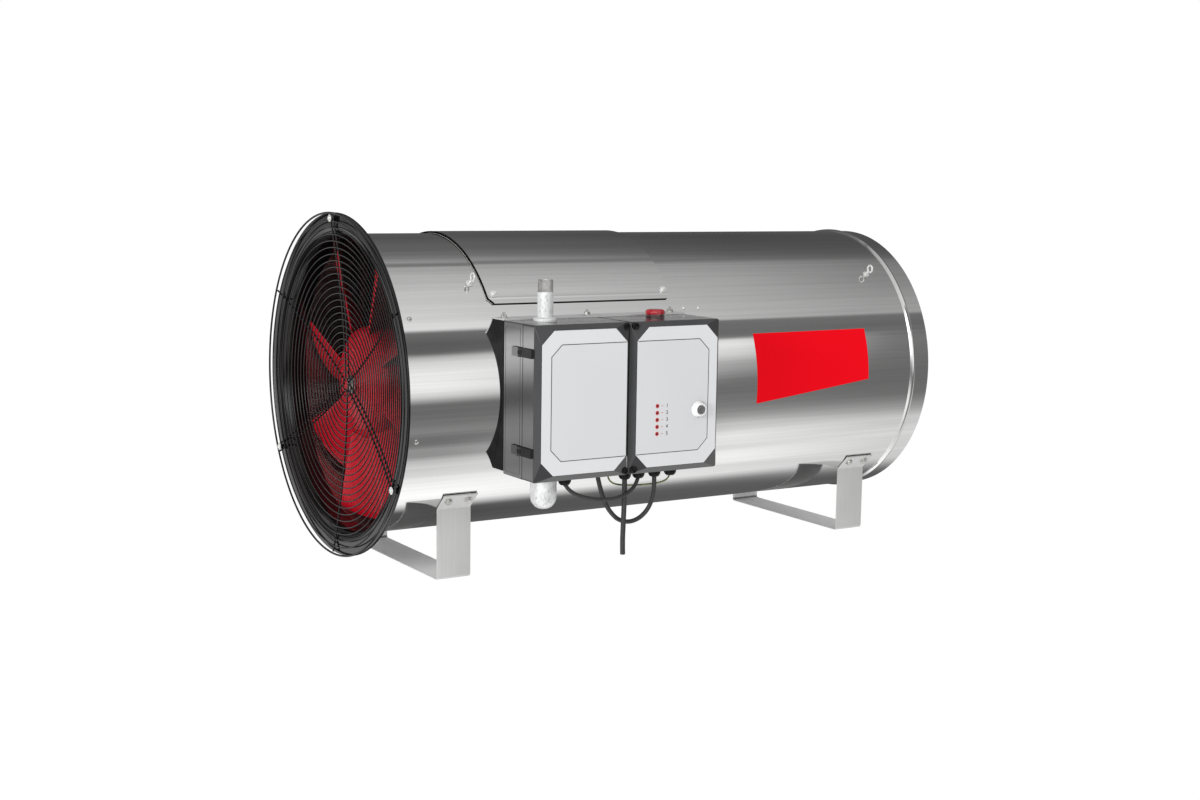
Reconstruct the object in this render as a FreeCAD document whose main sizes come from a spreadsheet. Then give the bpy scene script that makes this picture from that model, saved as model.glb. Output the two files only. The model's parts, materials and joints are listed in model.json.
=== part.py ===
import FreeCAD, Part
import os, math
import Sketcher

# Direct-fired propane greenhouse heater: a horizontal stainless casing with a
# guarded inlet fan at -X, a flame tube inside, two hinged plastic boxes on a
# saddle at -Y and two strip feet. Millimetres, +Z up. Local working frame:
# x from the rim of the inlet ring, y from the casing axis, z from the floor.

V = FreeCAD.Vector
Rot = FreeCAD.Rotation
PL = FreeCAD.Placement
doc = FreeCAD.newDocument("greenhouse_heater")

DIMS = [
    ("inlet_x", -567.75), ("axis_y", 46.65), ("axis_z", 327.5),
    ("casing_r", 265.0), ("sheet_t", 1.5), ("casing_start", 8.8), ("casing_end", 1149.0),
    ("bead_x", 1108.0), ("bead_h", 4.5), ("bead_w", 9.0),
    ("hatch_x", 188.0), ("hatch_len", 372.0), ("hatch_half", 55.0), ("hatch_gap", 0.4), ("hatch_rise", 3.8), ("hatch_open_half", 47.0),
    ("rim_r", 302.0), ("throat_r", 256.0), ("ring_t", 2.0), ("rim_face", -1.2), ("rim_lip", 2.0),
    ("guard_r", 301.2), ("guard_rim_wire", 1.8), ("guard_wire", 1.2), ("guard_pitch", 11.48),
    ("guard_face", -10.5), ("guard_dish", 29.0), ("spoke_wire", 1.6), ("spoke_half", 6.5),
    ("fan_r", 250.0), ("hub_r", 100.0), ("blade_x", 46.0), ("blade_count", 8.0), ("blade_phase", 23.0),
    ("shaft_r", 11.95), ("shaft_bore", 12.0), ("motor_r", 70.0), ("motor_x", 140.0), ("motor_len", 160.0),
    ("flame_r", 165.0), ("flame_x", 430.0), ("flame_end", 1010.0),
    ("foot_half", 175.6), ("foot_w", 65.0), ("foot_t", 2.5), ("foot_tilt", 46.0), ("foot_tab", 24.2),
    ("inlet_foot_x", 144.2), ("outlet_foot_x", 1033.8),
    ("box_x", 188.0), ("box_w", 183.5), ("box_gap", 1.0), ("box_low", 196.7), ("box_tall", 260.1), ("saddle_low", 201.6),
    ("box_back", -270.65), ("rim_y", -336.0), ("lid_y", -338.05), ("bevel_y", -374.5), ("front_y", -384.3),
    ("wall", 3.5), ("bevel", 9.0), ("panel_in", 9.5), ("panel_in_z", 8.8), ("panel_low", 11.2), ("panel_cut", 23.0), ("panel_t", 2.9),
    ("panel_face", -384.7),
    ("hinge_off", 5.0), ("slim_off", 2.6), ("hinge_y", -338.0), ("hinge_tall", 15.6), ("hinge_low_z", 246.0), ("hinge_high_z", 410.4),
    ("pin_r", 2.0), ("slim_pin_r", 1.2), ("pipe_x", 248.0), ("pipe_y", -305.0), ("pipe_r", 13.45), ("pipe_top", 526.0),
    ("gland_y", -315.0), ("gland_low", 177.0),
    ("reset_x", 509.0), ("reset_z", 302.3), ("reset_r", 7.4),
    ("led_x", 424.0), ("led_z", 312.6), ("led_pitch", 12.0),
    ("lamp_x", 470.0), ("lamp_y", -303.0), ("feed_x", 345.0),
]
sheet = doc.addObject("Spreadsheet::Sheet", "dims")
for i, (n, v) in enumerate(DIMS, 1):
    sheet.set("A%d" % i, n)
    sheet.set("B%d" % i, repr(v))
    sheet.setAlias("B%d" % i, n)
doc.recompute()


class Q:
    """A number together with the sheet expression that gives it."""
    def __init__(s, v, e):
        s.v, s.e = float(v), e
    def __add__(s, o):
        o = q(o); return Q(s.v + o.v, "(%s + %s)" % (s.e, o.e))
    def __radd__(s, o):
        return q(o) + s
    def __sub__(s, o):
        o = q(o); return Q(s.v - o.v, "(%s - %s)" % (s.e, o.e))
    def __rsub__(s, o):
        return q(o) - s
    def __mul__(s, o):
        o = q(o); return Q(s.v * o.v, "(%s * %s)" % (s.e, o.e))
    def __rmul__(s, o):
        return q(o) * s
    def __truediv__(s, o):
        o = q(o); return Q(s.v / o.v, "(%s / %s)" % (s.e, o.e))
    def __neg__(s):
        return Q(-s.v, "(0 - %s)" % s.e)


def q(a):
    return a if isinstance(a, Q) else Q(a, "(%.6g)" % a)


def D(name):
    return Q(sheet.get(name), "dims." + name)


OX, OY, AZ = D("inlet_x"), D("axis_y"), D("axis_z")
nodes = {}
count = [0]


def uid(name):
    count[0] += 1
    return "%s_%d" % (name, count[0])


def bind(o, prop, val):
    val = q(val)
    setattr(o, prop, val.v)
    if "dims." in val.e:
        o.setExpression(prop, val.e)


def place(o, x, y, z, rot=None):
    b = (OX + x, OY + y, q(z))
    o.Placement = PL(V(b[0].v, b[1].v, b[2].v), rot or Rot())
    for k, c in zip("xyz", b):
        if "dims." in c.e:
            o.setExpression("Placement.Base." + k, c.e)
    return o


def turn(axis):
    return {"Z": Rot(), "X": Rot(V(0, 1, 0), 90), "Y": Rot(V(1, 0, 0), -90),
            "-Z": Rot(V(1, 0, 0), 180), "-Y": Rot(V(1, 0, 0), 90), "-X": Rot(V(0, 1, 0), -90)}[axis]


def node(o, label):
    o.Label = label
    nodes[label] = o
    return o


def box(x0, x1, y0, y1, z0, z1):
    o = doc.addObject("Part::Box", uid("box"))
    bind(o, "Length", q(x1) - x0)
    bind(o, "Width", q(y1) - y0)
    bind(o, "Height", q(z1) - z0)
    return place(o, x0, y0, z0)


def cyl(x, y, z, axis, r, length):
    o = doc.addObject("Part::Cylinder", uid("cyl"))
    bind(o, "Radius", r)
    bind(o, "Height", length)
    return place(o, x, y, z, turn(axis) if isinstance(axis, str) else axis)


def cone(x, y, z, axis, r1, r2, length):
    o = doc.addObject("Part::Cone", uid("cone"))
    bind(o, "Radius1", r1)
    bind(o, "Radius2", r2)
    bind(o, "Height", length)
    return place(o, x, y, z, turn(axis))


def torus(x, y, z, axis, r1, r2):
    o = doc.addObject("Part::Torus", uid("torus"))
    bind(o, "Radius1", r1)
    bind(o, "Radius2", r2)
    return place(o, x, y, z, turn(axis) if isinstance(axis, str) else axis)


def sphere(x, y, z, r):
    o = doc.addObject("Part::Sphere", uid("ball"))
    bind(o, "Radius", r)
    return place(o, x, y, z)


def hexa(x, y, z, axis, r, length):
    o = doc.addObject("Part::Prism", uid("hex"))
    o.Polygon = 6
    bind(o, "Circumradius", r)
    bind(o, "Height", length)
    return place(o, x, y, z, turn(axis) if isinstance(axis, str) else axis)


def fuse(parts):
    if len(parts) == 1:
        return parts[0]
    o = doc.addObject("Part::MultiFuse", uid("fuse"))
    o.Shapes = parts
    return o


def cut(a, tools):
    o = doc.addObject("Part::Cut", uid("cut"))
    o.Base = a
    o.Tool = fuse(tools)
    return o


def common(a, b):
    o = doc.addObject("Part::Common", uid("common"))
    o.Base = a
    o.Tool = b
    return o


def group(parts):
    o = doc.addObject("Part::Compound", uid("group"))
    o.Links = parts
    return o


def body_sketch(plane, pts):
    body = doc.addObject("PartDesign::Body", uid("body"))
    sk = body.newObject("Sketcher::SketchObject", uid("sketch"))
    for f in body.Origin.OriginFeatures:
        if f.Role == plane:
            sk.AttachmentSupport = [(f, "")]
    sk.MapMode = "FlatFace"
    n = len(pts)
    P = [(q(a), q(b)) for a, b in pts]
    sk.addGeometry([Part.LineSegment(V(P[i][0].v, P[i][1].v, 0), V(P[(i + 1) % n][0].v, P[(i + 1) % n][1].v, 0)) for i in range(n)], False)
    sk.addConstraint([Sketcher.Constraint("Coincident", i, 2, (i + 1) % n, 1) for i in range(n)])
    for i, (a, b) in enumerate(P):
        for kind, val, ax, tag in (("DistanceX", a, -2, "u"), ("DistanceY", b, -1, "w")):
            if abs(val.v) < 1e-9:
                sk.addConstraint(Sketcher.Constraint("PointOnObject", i, 1, ax))
                continue
            c = sk.addConstraint(Sketcher.Constraint(kind, -1, 1, i, 1, val.v))
            if "dims." in val.e:
                sk.renameConstraint(c, "%s%d" % (tag, i))
                sk.setExpression("Constraints.%s%d" % (tag, i), val.e)
    return body, sk


def revolve(pts):
    """Ring or shaft about the casing axis; points are (x, radius)."""
    body, sk = body_sketch("XZ_Plane", pts)
    r = body.newObject("PartDesign::Revolution", uid("revolution"))
    r.Profile = sk
    r.ReferenceAxis = (sk, ["H_Axis"])
    r.Angle = 360.0
    return place(body, 0, 0, AZ)


def turned(pts, x, y, z):
    """Turned piece about a vertical axis; points are (radius, height)."""
    body, sk = body_sketch("XZ_Plane", pts)
    r = body.newObject("PartDesign::Revolution", uid("revolution"))
    r.Profile = sk
    r.ReferenceAxis = (sk, ["V_Axis"])
    r.Angle = 360.0
    return place(body, x, y, z)


def pad(plane, pts, length, x, y, z):
    """Prism of a sketch, its thickness centred on the sketch plane."""
    body, sk = body_sketch(plane, pts)
    p = body.newObject("PartDesign::Pad", uid("pad"))
    p.Profile = sk
    p.Midplane = True
    bind(p, "Length", length)
    return place(body, x, y, z)


def feature(shape):
    o = doc.addObject("Part::Feature", uid("feature"))
    o.Shape = shape
    return place(o, 0, 0, 0)


def out(a):
    """Outward direction at an angle from the top towards the boxes."""
    t = math.radians(a)
    return V(0, -math.sin(t), math.cos(t))


def radial(kind, x, a, r0, length, r):
    e = out(a)
    f = cyl if kind == "cyl" else hexa
    r0 = q(r0)
    return f(x, r0 * e.y, AZ + r0 * e.z, Rot(V(0, 0, 1), e), r, length)


def sector(x, length, r, half):
    """Pie-shaped prism along the casing axis, centred on the top."""
    o = doc.addObject("Part::Cylinder", uid("sector"))
    bind(o, "Radius", r)
    bind(o, "Height", length)
    bind(o, "Angle", q(half) * 2)
    a = math.radians(90 - q(half).v)
    ex = V(0, math.cos(a), math.sin(a))
    return place(o, x, 0, AZ, Rot(ex, V(1, 0, 0).cross(ex), V(1, 0, 0), "ZXY"))


# ---------------------------------------------------------------- casing
R, T = D("casing_r"), D("sheet_t")
bx, bh, bw = D("bead_x"), D("bead_h"), D("bead_w")
arch = [(-1.0, 0.0), (-0.8, 0.45), (-0.5, 0.82), (-0.17, 0.98), (0.17, 0.98), (0.5, 0.82), (0.8, 0.45), (1.0, 0.0)]
outer = [(D("casing_start"), R)] + [(bx + bw * u, R + bh * w) for u, w in arch] + [(D("casing_end"), R)]
inner = [(D("casing_end"), R - T)] + [(bx + bw * u, R - T + bh * w) for u, w in reversed(arch)] + [(D("casing_start"), R - T)]
tube = revolve(outer + inner)
hx, hl = D("hatch_x"), D("hatch_len")
screw_spots = [(x, a) for x in (201.0, 548.0) for a in (51.0, -51.0)]
stat_spots = [(582.0, 59.3), (614.0, 59.3)]
rivet_spots = [(34.0, 59.8 + 45 * k) for k in range(8)]
tabs = [(D("inlet_foot_x"), 1), (D("inlet_foot_x"), -1), (D("outlet_foot_x"), 1), (D("outlet_foot_x"), -1)]
tilt = sheet.get("foot_tilt")


def tab_bolt(kind, fx, side, dx, r0, length, r, t=9.0):
    """Round bar or hexagon normal to a foot tab; r0 is the distance from the casing axis."""
    th = math.radians(tilt)
    n = V(0, -side * math.cos(th), -math.sin(th))
    tv = V(0, -side * math.sin(th), math.cos(th))
    p = n * r0 + tv * t
    f = cyl if kind == "cyl" else hexa
    return f(fx + dx, p.y, AZ + p.z, Rot(V(0, 0, 1), n), r, length)


holes = [sector(hx + 17, hl - 34, R + 30, D("hatch_open_half"))]
holes += [radial("cyl", x, a, 255, 20, 2.6) for x, a in screw_spots + stat_spots]
holes += [radial("cyl", x, a, 255, 20, 2.1) for x, a in rivet_spots]
holes += [tab_bolt("cyl", fx, s, d, 255, 20, 3.1) for fx, s in tabs for d in (-19.0, 19.0)]
holes += [cyl(D("feed_x"), -300, AZ, "Y", 17, 120), cyl(430, -300, AZ, "Y", 14, 120)]
node(cut(tube, holes), "casing_tube")

cover = cut(sector(hx, hl, R + D("hatch_rise"), D("hatch_half")), [cyl(hx - 5, 0, AZ, "X", R + D("hatch_gap"), hl + 10)]
            + [radial("cyl", x, a, 255, 20, 2.6) for x, a in screw_spots])
node(cover, "hatch_cover")

scr = []
for x, a in screw_spots:
    scr.append(fuse([radial("cyl", x, a, 261, 7.9, 2.5), radial("hex", x, a, 268.85, 4.0, 5.6)]))
for x, a in stat_spots:
    scr.append(fuse([radial("cyl", x, a, 261, 4.15, 2.5), radial("hex", x, a, 265.12, 2.8, 3.8)]))
node(group(scr), "casing_screws")

eyes = []
for x in (166.0, 1045.5):
    for a in (45.2, -45.2):
        e = out(a)
        c = e * 281.0
        eyes.append(fuse([radial("cyl", x, a, 265.1, 3.0, 5.0), radial("cyl", x, a, 266.0, 9.3, 2.1),
                          torus(x, c.y, AZ + c.z, "X", 6.6, 2.0)]))
node(group(eyes), "hanging_eyes")

# ---------------------------------------------------------------- feet
th = math.radians(tilt)
fh, ft = D("foot_half"), D("foot_t")
tin, tout, te = R + 0.05, R + 0.05 + ft, D("foot_tab")
ct, st = math.cos(th), math.sin(th)
oz = AZ - (tout - fh * ct) / st
iz = AZ - (tin - (fh - ft) * ct) / st
half = [(fh, q(0)), (fh, oz), (tout * ct + te * st, AZ - tout * st + te * ct),
        (tin * ct + te * st, AZ - tin * st + te * ct), (fh - ft, iz), (fh - ft, ft)]
left = [(-a, b) for a, b in half]
profile = left + list(reversed(half))
for label, fx in (("inlet_foot", D("inlet_foot_x")), ("outlet_foot", D("outlet_foot_x"))):
    b = pad("YZ_Plane", profile, D("foot_w"), fx, 0, 0)
    node(cut(b, [tab_bolt("cyl", fx, s, d, 255, 20, 3.1) for s in (1, -1) for d in (-19.0, 19.0)]), label)
node(group([fuse([tab_bolt("cyl", fx, s, d, 260, 7.7, 3.0), tab_bolt("hex", fx, s, d, 267.6, 4.2, 6.4)])
            for fx, s in tabs for d in (-19.0, 19.0)]), "foot_bolts")

# ---------------------------------------------------------------- inlet ring and guard
rim, thr, rt, rf, lip = D("rim_r"), D("throat_r"), D("ring_t"), D("rim_face"), D("rim_lip")
bend = [math.radians(90 * k / 7.0) for k in range(8)]
front = [(rf + 24 * (1 - math.cos(t)), thr + 24 * (1 - math.sin(t))) for t in bend]
back = [(rf + 24 - 22 * math.cos(t), thr + 24 - 22 * math.sin(t)) for t in bend]
ring = [(lip, rim), (rf, rim)] + front + [(q(46), thr), (q(46), R - T - 0.15), (q(24), R - T - 0.15), (q(24), R - T - 1.75),
        (q(44), R - T - 1.75), (q(44), thr + rt)] + list(reversed(back)) + [(rf + rt, rim - rt), (lip, rim - rt)]
clip_spots = (0.0, 120.0, 240.0)
clip_r = 292.0


def around(a, r):
    t = math.radians(a)
    return (r * math.sin(t), r * math.cos(t))


tools = [radial("cyl", x, a, 255, 20, 2.1) for x, a in rivet_spots]
for a in clip_spots:
    y, z = around(a, clip_r)
    tools.append(cyl(-20, y, AZ + z, "X", 2.6, 40))
node(cut(revolve(ring), tools), "inlet_ring")
node(group([fuse([radial("cyl", x, a, 259.5, 6, 2.0), radial("cyl", x, a, 265.12, 1.6, 4.2)]) for x, a in rivet_spots]), "inlet_rivets")

gf, gd, gr = D("guard_face"), D("guard_dish"), D("guard_r")


def dish(r):
    return gf + gd * (1 - r * r / (gr * gr))


rings = [torus(dish(D("guard_pitch") * k), 0, AZ, "X", D("guard_pitch") * k, D("guard_wire")) for k in range(1, 26)]
rings.append(torus(gf + 1.5, 0, AZ, "X", gr, D("guard_rim_wire")))
node(group(rings), "guard_rings")

gap = sheet.get("guard_wire") + sheet.get("spoke_wire") + 0.12


def spoke(a, off, r0, r1):
    """One wire behind the rings, bent to the same dish."""
    def at(r):
        rr = math.hypot(r, off)
        slope = -2 * gd.v * rr / (gr.v ** 2)
        n = math.sqrt(1 + slope * slope)
        return V(dish(q(rr)).v + gap / n, 0, 0), rr - gap * slope / n * -1.0
    pts = []
    for r in (r0, 0.5 * (r0 + r1), r1):
        p, _ = at(r)
        t = math.radians(a)
        pts.append(V(p.x, off * math.cos(t) + r * math.sin(t), AZ.v - off * math.sin(t) + r * math.cos(t)))
    w = Part.Wire([Part.Arc(*pts).toShape()])
    d = w.Edges[0].tangentAt(w.Edges[0].FirstParameter)
    c = Part.Wire([Part.makeCircle(sheet.get("spoke_wire"), pts[0], d)])
    return feature(w.makePipeShell([c], True, True))


sh = sheet.get("spoke_half")
spokes = []
for a in clip_spots:
    spokes += [spoke(a, sh, 9.5, 299.1), spoke(a, -sh, 9.5, 299.1)]
    spokes.append(spoke(a + 60.0, 0.0, 9.5, 299.1))
for a in clip_spots:
    y, z = around(a, clip_r)
    rr = Rot(V(1, 0, 0), -a)
    b = doc.addObject("Part::Box", uid("clip"))
    b.Length, b.Width, b.Height = 7.8, 7.6, 7.0
    c = rr.multVec(V(0, -3.8, clip_r - 3.5))
    place(b, -9.1, c.y, AZ + c.z, rr)
    spokes.append(cut(b, [cyl(-20, y, AZ + z, "X", 2.6, 40)]))
node(group(spokes), "guard_spokes")
gs = []
for a in clip_spots:
    y, z = around(a, clip_r)
    gs.append(fuse([cyl(-13.5, y, AZ + z, "X", 3.9, 3.5), cyl(-10.6, y, AZ + z, "X", 6.5, 1.4), cyl(-9.5, y, AZ + z, "X", 2.5, 16)]))
node(group(gs), "guard_screws")

# ---------------------------------------------------------------- fan and motor
hr, sb = D("hub_r"), D("shaft_bore")
hub = revolve([(q(33), sb), (q(33), q(40)), (q(35.5), q(62)), (q(41), hr - 18), (q(48), hr - 6), (q(58), hr), (q(120), hr), (q(120), hr - 5),
               (q(62), hr - 5), (q(52), hr - 14), (q(46), q(62)), (q(43), q(30)), (q(46), q(27)), (q(96), q(27)), (q(96), sb)])


def section(r, c, beta, t, camber):
    b = math.radians(beta)
    d, n = V(math.sin(b), math.cos(b), 0), V(-math.cos(b), math.sin(b), 0)
    le = V(sheet.get("blade_x"), 0, r)
    te_ = le + d * c
    mid = le + d * (c / 2) + n * camber
    a1, a2, a3 = le + n * (t / 2), mid + n * (t / 2), te_ + n * (t / 2)
    b1, b2, b3 = te_ - n * (t / 2), mid - n * (t / 2), le - n * (t / 2)
    return Part.Wire([Part.Arc(a1, a2, a3).toShape(), Part.LineSegment(a3, b1).toShape(),
                      Part.Arc(b1, b2, b3).toShape(), Part.LineSegment(b3, a1).toShape()])


loft = Part.makeLoft([section(55, 84, 52, 6.5, 5), section(105, 96, 44, 6, 6), section(180, 116, 32, 5, 7), section(262, 130, 24, 4, 7)], True, False)
loft = loft.common(Part.makeCylinder(sheet.get("fan_r"), 200, V(0, 0, 0), V(1, 0, 0)))
loft = loft.cut(Part.makeCylinder(sheet.get("hub_r") - 3, 200, V(0, 0, 0), V(1, 0, 0)))
blades = []
nb = int(sheet.get("blade_count"))
for k in range(nb):
    o = doc.addObject("Part::Feature", uid("blade"))
    o.Shape = loft
    blades.append(place(o, 0, 0, AZ, Rot(V(1, 0, 0), -(sheet.get("blade_phase") + 360.0 / nb * k))))
rotor = hub
for b in blades:
    o = doc.addObject("Part::Fuse", uid("rotor"))
    o.Base, o.Tool = rotor, b
    rotor = o
node(rotor, "fan_rotor")
sr = D("shaft_r")
node(group([revolve([(q(30.2), q(0)), (q(30.2), sr), (q(203), sr), (q(203), q(0))]),
            cut(hexa(27.5, 0, AZ, "X", 17, 5.4), [cyl(30.15, 0, AZ, "X", 12.2, 5)])]), "motor_shaft")
mr, mx, ml = D("motor_r"), D("motor_x"), D("motor_len")
node(revolve([(mx, sb), (mx, q(40)), (mx + 4, q(58)), (mx + 10, mr), (mx + ml, mr), (mx + ml, mr - 6), (mx + ml + 18, mr - 10), (mx + ml + 22, mr - 18),
              (mx + ml + 22, q(0)), (mx + 66, q(0)), (mx + 66, sb)]), "motor_body")
arms = [cut(cyl(205, 0, AZ, "X", mr + 4, 50), [cyl(200, 0, AZ, "X", mr + 0.05, 60)])]
for a in (35.0, 145.0, -35.0, -145.0):
    o = doc.addObject("Part::Box", uid("arm"))
    o.Length, o.Width = 44.0, 5.0
    bind(o, "Height", R - T - 0.15 - mr - 2)
    rr = Rot(V(0, 0, 1), out(a))
    c = out(a) * (mr.v + 2) + rr.multVec(V(0, -2.5, 0))
    place(o, 208, c.y, AZ + c.z, rr)
    arms.append(o)
node(fuse(arms), "motor_mount")

# ---------------------------------------------------------------- burner
fr, fx0, fx1 = D("flame_r"), D("flame_x"), D("flame_end")
node(revolve([(fx0, fr - T), (fx0, fr), (fx1, fr), (fx1 + 12, fr + 9), (fx1 + 12, fr + 7.2), (fx1, fr - T)]), "flame_tube")
brs = []
for x in (500.0, 940.0):
    for a in (45.0, 135.0, -45.0, -135.0):
        o = doc.addObject("Part::Box", uid("strap"))
        o.Length, o.Width = 30.0, 3.0
        bind(o, "Height", R - T - 0.15 - fr - 0.1)
        rr = Rot(V(0, 0, 1), out(a))
        c = out(a) * (fr.v + 0.1) + rr.multVec(V(0, -1.5, 0))
        place(o, x, c.y, AZ + c.z, rr)
        brs.append(o)
node(group(brs), "flame_tube_brackets")
node(cut(revolve([(q(432), q(67.4)), (q(432), fr - T - 0.1), (q(434), fr - T - 0.1), (q(434), q(67.4))]),
         [cyl(420, 115 * math.cos(math.radians(30 * k)), AZ + 115 * math.sin(math.radians(30 * k)), "X", 15, 30) for k in range(12)]
         + [cyl(420, 148 * math.cos(math.radians(15 + 30 * k)), AZ + 148 * math.sin(math.radians(15 + 30 * k)), "X", 8, 30) for k in range(12)]), "swirl_plate")
ev = [(-27.0, 27.0), (27.0, 27.0)]
cone_b = revolve([(q(388), q(16.2)), (q(388), q(58)), (q(430), q(64.3)), (q(500), q(112)), (q(501.2), q(110.4)), (q(430.6), q(62.4)), (q(391), q(56.2)), (q(391), q(16.2))])
node(cut(cone_b, [cyl(380, y, AZ + z, "X", 5.15, 20) for y, z in ev]
         + [cyl(380, 36 * math.cos(math.radians(a)), AZ + 36 * math.sin(math.radians(a)), "X", 9, 20) for a in (180, 225, 270, 315, 0)]), "burner_cone")
node(revolve([(q(380), q(0)), (q(380), q(16)), (q(412), q(16)), (q(424), q(8)), (q(424), q(0))]), "gas_nozzle")
node(fuse([cyl(372, -27, AZ + 27, "X", 5, 70), cyl(441, -27, AZ + 27, "X", 1.3, 32)]), "ignition_electrode")
node(fuse([cyl(372, 27, AZ + 27, "X", 5, 70), cyl(441, 27, AZ + 27, "X", 1.3, 78)]), "flame_sensor_rod")
fxv = sheet.get("feed_x")
az = AZ.v
pa, pb, pc, pd = V(fxv, -283, az), V(fxv, -34.9, az), V(fxv + 34.9, 0, az), V(379.95, 0, az)
m = V(fxv + 34.9 - 34.9 * math.cos(math.radians(45)), -34.9 + 34.9 * math.sin(math.radians(45)), az)
edges = [Part.LineSegment(pa, pb).toShape(), Part.Arc(pb, m, pc).toShape()]
if pd.x - pc.x > 0.06:
    edges.append(Part.LineSegment(pc, pd).toShape())
path = Part.Wire(edges)
pipe_shapes = []
for r in (10.0, 8.0):
    pipe_shapes.append(path.makePipeShell([Part.Wire([Part.makeCircle(r, pa, V(0, 1, 0))])], True, True))
node(feature(pipe_shapes[0].cut(pipe_shapes[1])), "burner_feed_pipe")
rr = Rot(V(0, 0, 1), out(59.3))
o = doc.addObject("Part::Box", uid("stat"))
o.Length, o.Width, o.Height = 56.0, 26.0, 20.0
c = out(59.3) * 240.5 + rr.multVec(V(0, -13, 0))
place(o, 570, c.y, AZ + c.z, rr)
node(o, "overheat_thermostat")

# ---------------------------------------------------------------- saddle and boxes
b0, bwid, bgap, bz, bt = D("box_x"), D("box_w"), D("box_gap"), D("box_low"), D("box_tall")
bb, ry, ly, by_, fy, wl = D("box_back"), D("rim_y"), D("lid_y"), D("bevel_y"), D("front_y"), D("wall")
xe = b0 + bwid * 2 + bgap
top = bz + bt
sz = D("saddle_low")
sad = cut(box(b0, xe, bb + 0.05, -215, sz, top + 2.6),
          [box(b0 + 2.5, xe - 2.5, bb + 2.55, -200, sz + 2.5, top + 0.1), cyl(100, 0, AZ, "X", R + 0.25, 600),
           cyl(D("feed_x"), -300, AZ, "Y", 17, 120), cyl(430, -300, AZ, "Y", 14, 120)]
          + [cyl(x, -252, top - 10, "Z", 2.6, 30) for x in (198.0, 362.0, 535.0)]
          + [cyl(x, -252, sz - 10, "Z", 2.6, 30) for x in (205.0, 535.0)])
node(sad, "box_saddle")
bolts = [fuse([cyl(x, -252, top - 3, "Z", 2.5, 15.4), hexa(x, -252, top + 2.62, "Z", 5.8, 5.6)]) for x in (198.0, 362.0, 535.0)]
bolts += [fuse([cyl(x, -252, sz - 1, "Z", 2.5, 6), hexa(x, -252, sz - 4.22, "Z", 5.8, 4.2)]) for x in (205.0, 535.0)]
bolts.append(fuse([cyl(384, -292, bz - 2, "Z", 2.5, 9), hexa(384, -292, bz - 8.1, "Z", 5.8, 8.0)]))
node(group(bolts), "saddle_bolts")

px, py, pr = D("pipe_x"), D("pipe_y"), D("pipe_r")
gy, gl = D("gland_y"), D("gland_low")
glands = [283.6, 348.5, 404.9, 433.2, 466.5, 499.8]


def base(x0, x1, extra):
    shell = box(x0, x1, ry, bb, bz, top)
    return cut(shell, [box(x0 + wl, x1 - wl, ry - 10, bb - wl, bz + wl, top - wl)] + extra)


x1 = b0 + bwid
x2 = x1 + bgap
gas_holes = [cyl(px, py, top - 20, "Z", pr + 0.15, 40), cyl(px, py, bz - 20, "Z", pr + 0.15, 40), cyl(D("feed_x"), -300, AZ, "Y", 12, 60)]
gas_holes += [cyl(x, gy, bz - 20, "Z", 8.1, 40) for x in glands[:2]]
node(base(b0, x1, gas_holes), "gas_box_base")
con_holes = [cyl(430, -300, AZ, "Y", 12, 60), cyl(D("lamp_x"), D("lamp_y"), top - 20, "Z", 8.1, 40), cyl(384, -292, bz - 20, "Z", 2.6, 40)]
con_holes += [cyl(x, gy, bz - 20, "Z", 8.1, 40) for x in glands[2:]]
node(base(x2, xe, con_holes), "control_box_base")
gaskets = []
for u0, u1 in ((b0, x1), (x2, xe)):
    gaskets.append(cut(box(u0 + 1, u1 - 1, ry - 1.95, ry, bz + 1, top - 1), [box(u0 + 3.5, u1 - 3.5, ry - 10, ry + 10, bz + 3.5, top - 3.5)]))
node(group(gaskets), "box_gaskets")

# gas train
node(group([cut(fuse([cyl(px, py, 372, "Z", pr, D("pipe_top") - 392), cyl(px, py, D("pipe_top") - 22, "Z", pr - 0.25, 22)]), [cyl(px, py, 360, "Z", pr - 3, 200)]),
            cut(cyl(px, py, 176, "Z", pr, 119), [cyl(px, py, 170, "Z", pr - 3, 140)])]), "gas_pipes")
node(turned([(pr + 0.1, top + 0.05 - AZ), (q(20), top + 0.05 - AZ), (q(20), top + 4.5 - AZ), (q(17), top + 6.5 - AZ), (pr + 0.1, top + 6.5 - AZ)], px, py, AZ), "gas_inlet_flange")
tee = fuse([cyl(px, py, 295, "Z", 19, 77), cyl(px, py, AZ, "X", 17, q(290) - px)])
node(cut(tee, [cyl(px, py, 290, "Z", 10, 100), cyl(px, py, AZ, "X", 10, 60)]), "gas_tee")
node(turned([(q(22.5), bz - 0.1), (q(22.5), q(159)), (q(21.2), q(151)), (q(17.5), q(144)), (q(12), q(139.5)), (q(6), q(137.4)), (q(0), q(137)), (q(0), q(175.5)),
             (pr + 0.1, q(175.5)), (pr + 0.1, bz - 0.1)], px, py, 0), "drip_cap")
node(fuse([box(290, 365, -325, -283, 297, 358), cyl(310, -304, 356, "Z", 9, 6), cyl(345, -304, 356, "Z", 9, 6)]), "gas_valve_body")
node(group([cut(cyl(x, -304, 358.1, "Z", 16.5, 46), [cyl(x, -304, 350, "Z", 9.1, 12.1)]) for x in (310.0, 345.0)]), "solenoid_coils")

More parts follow.
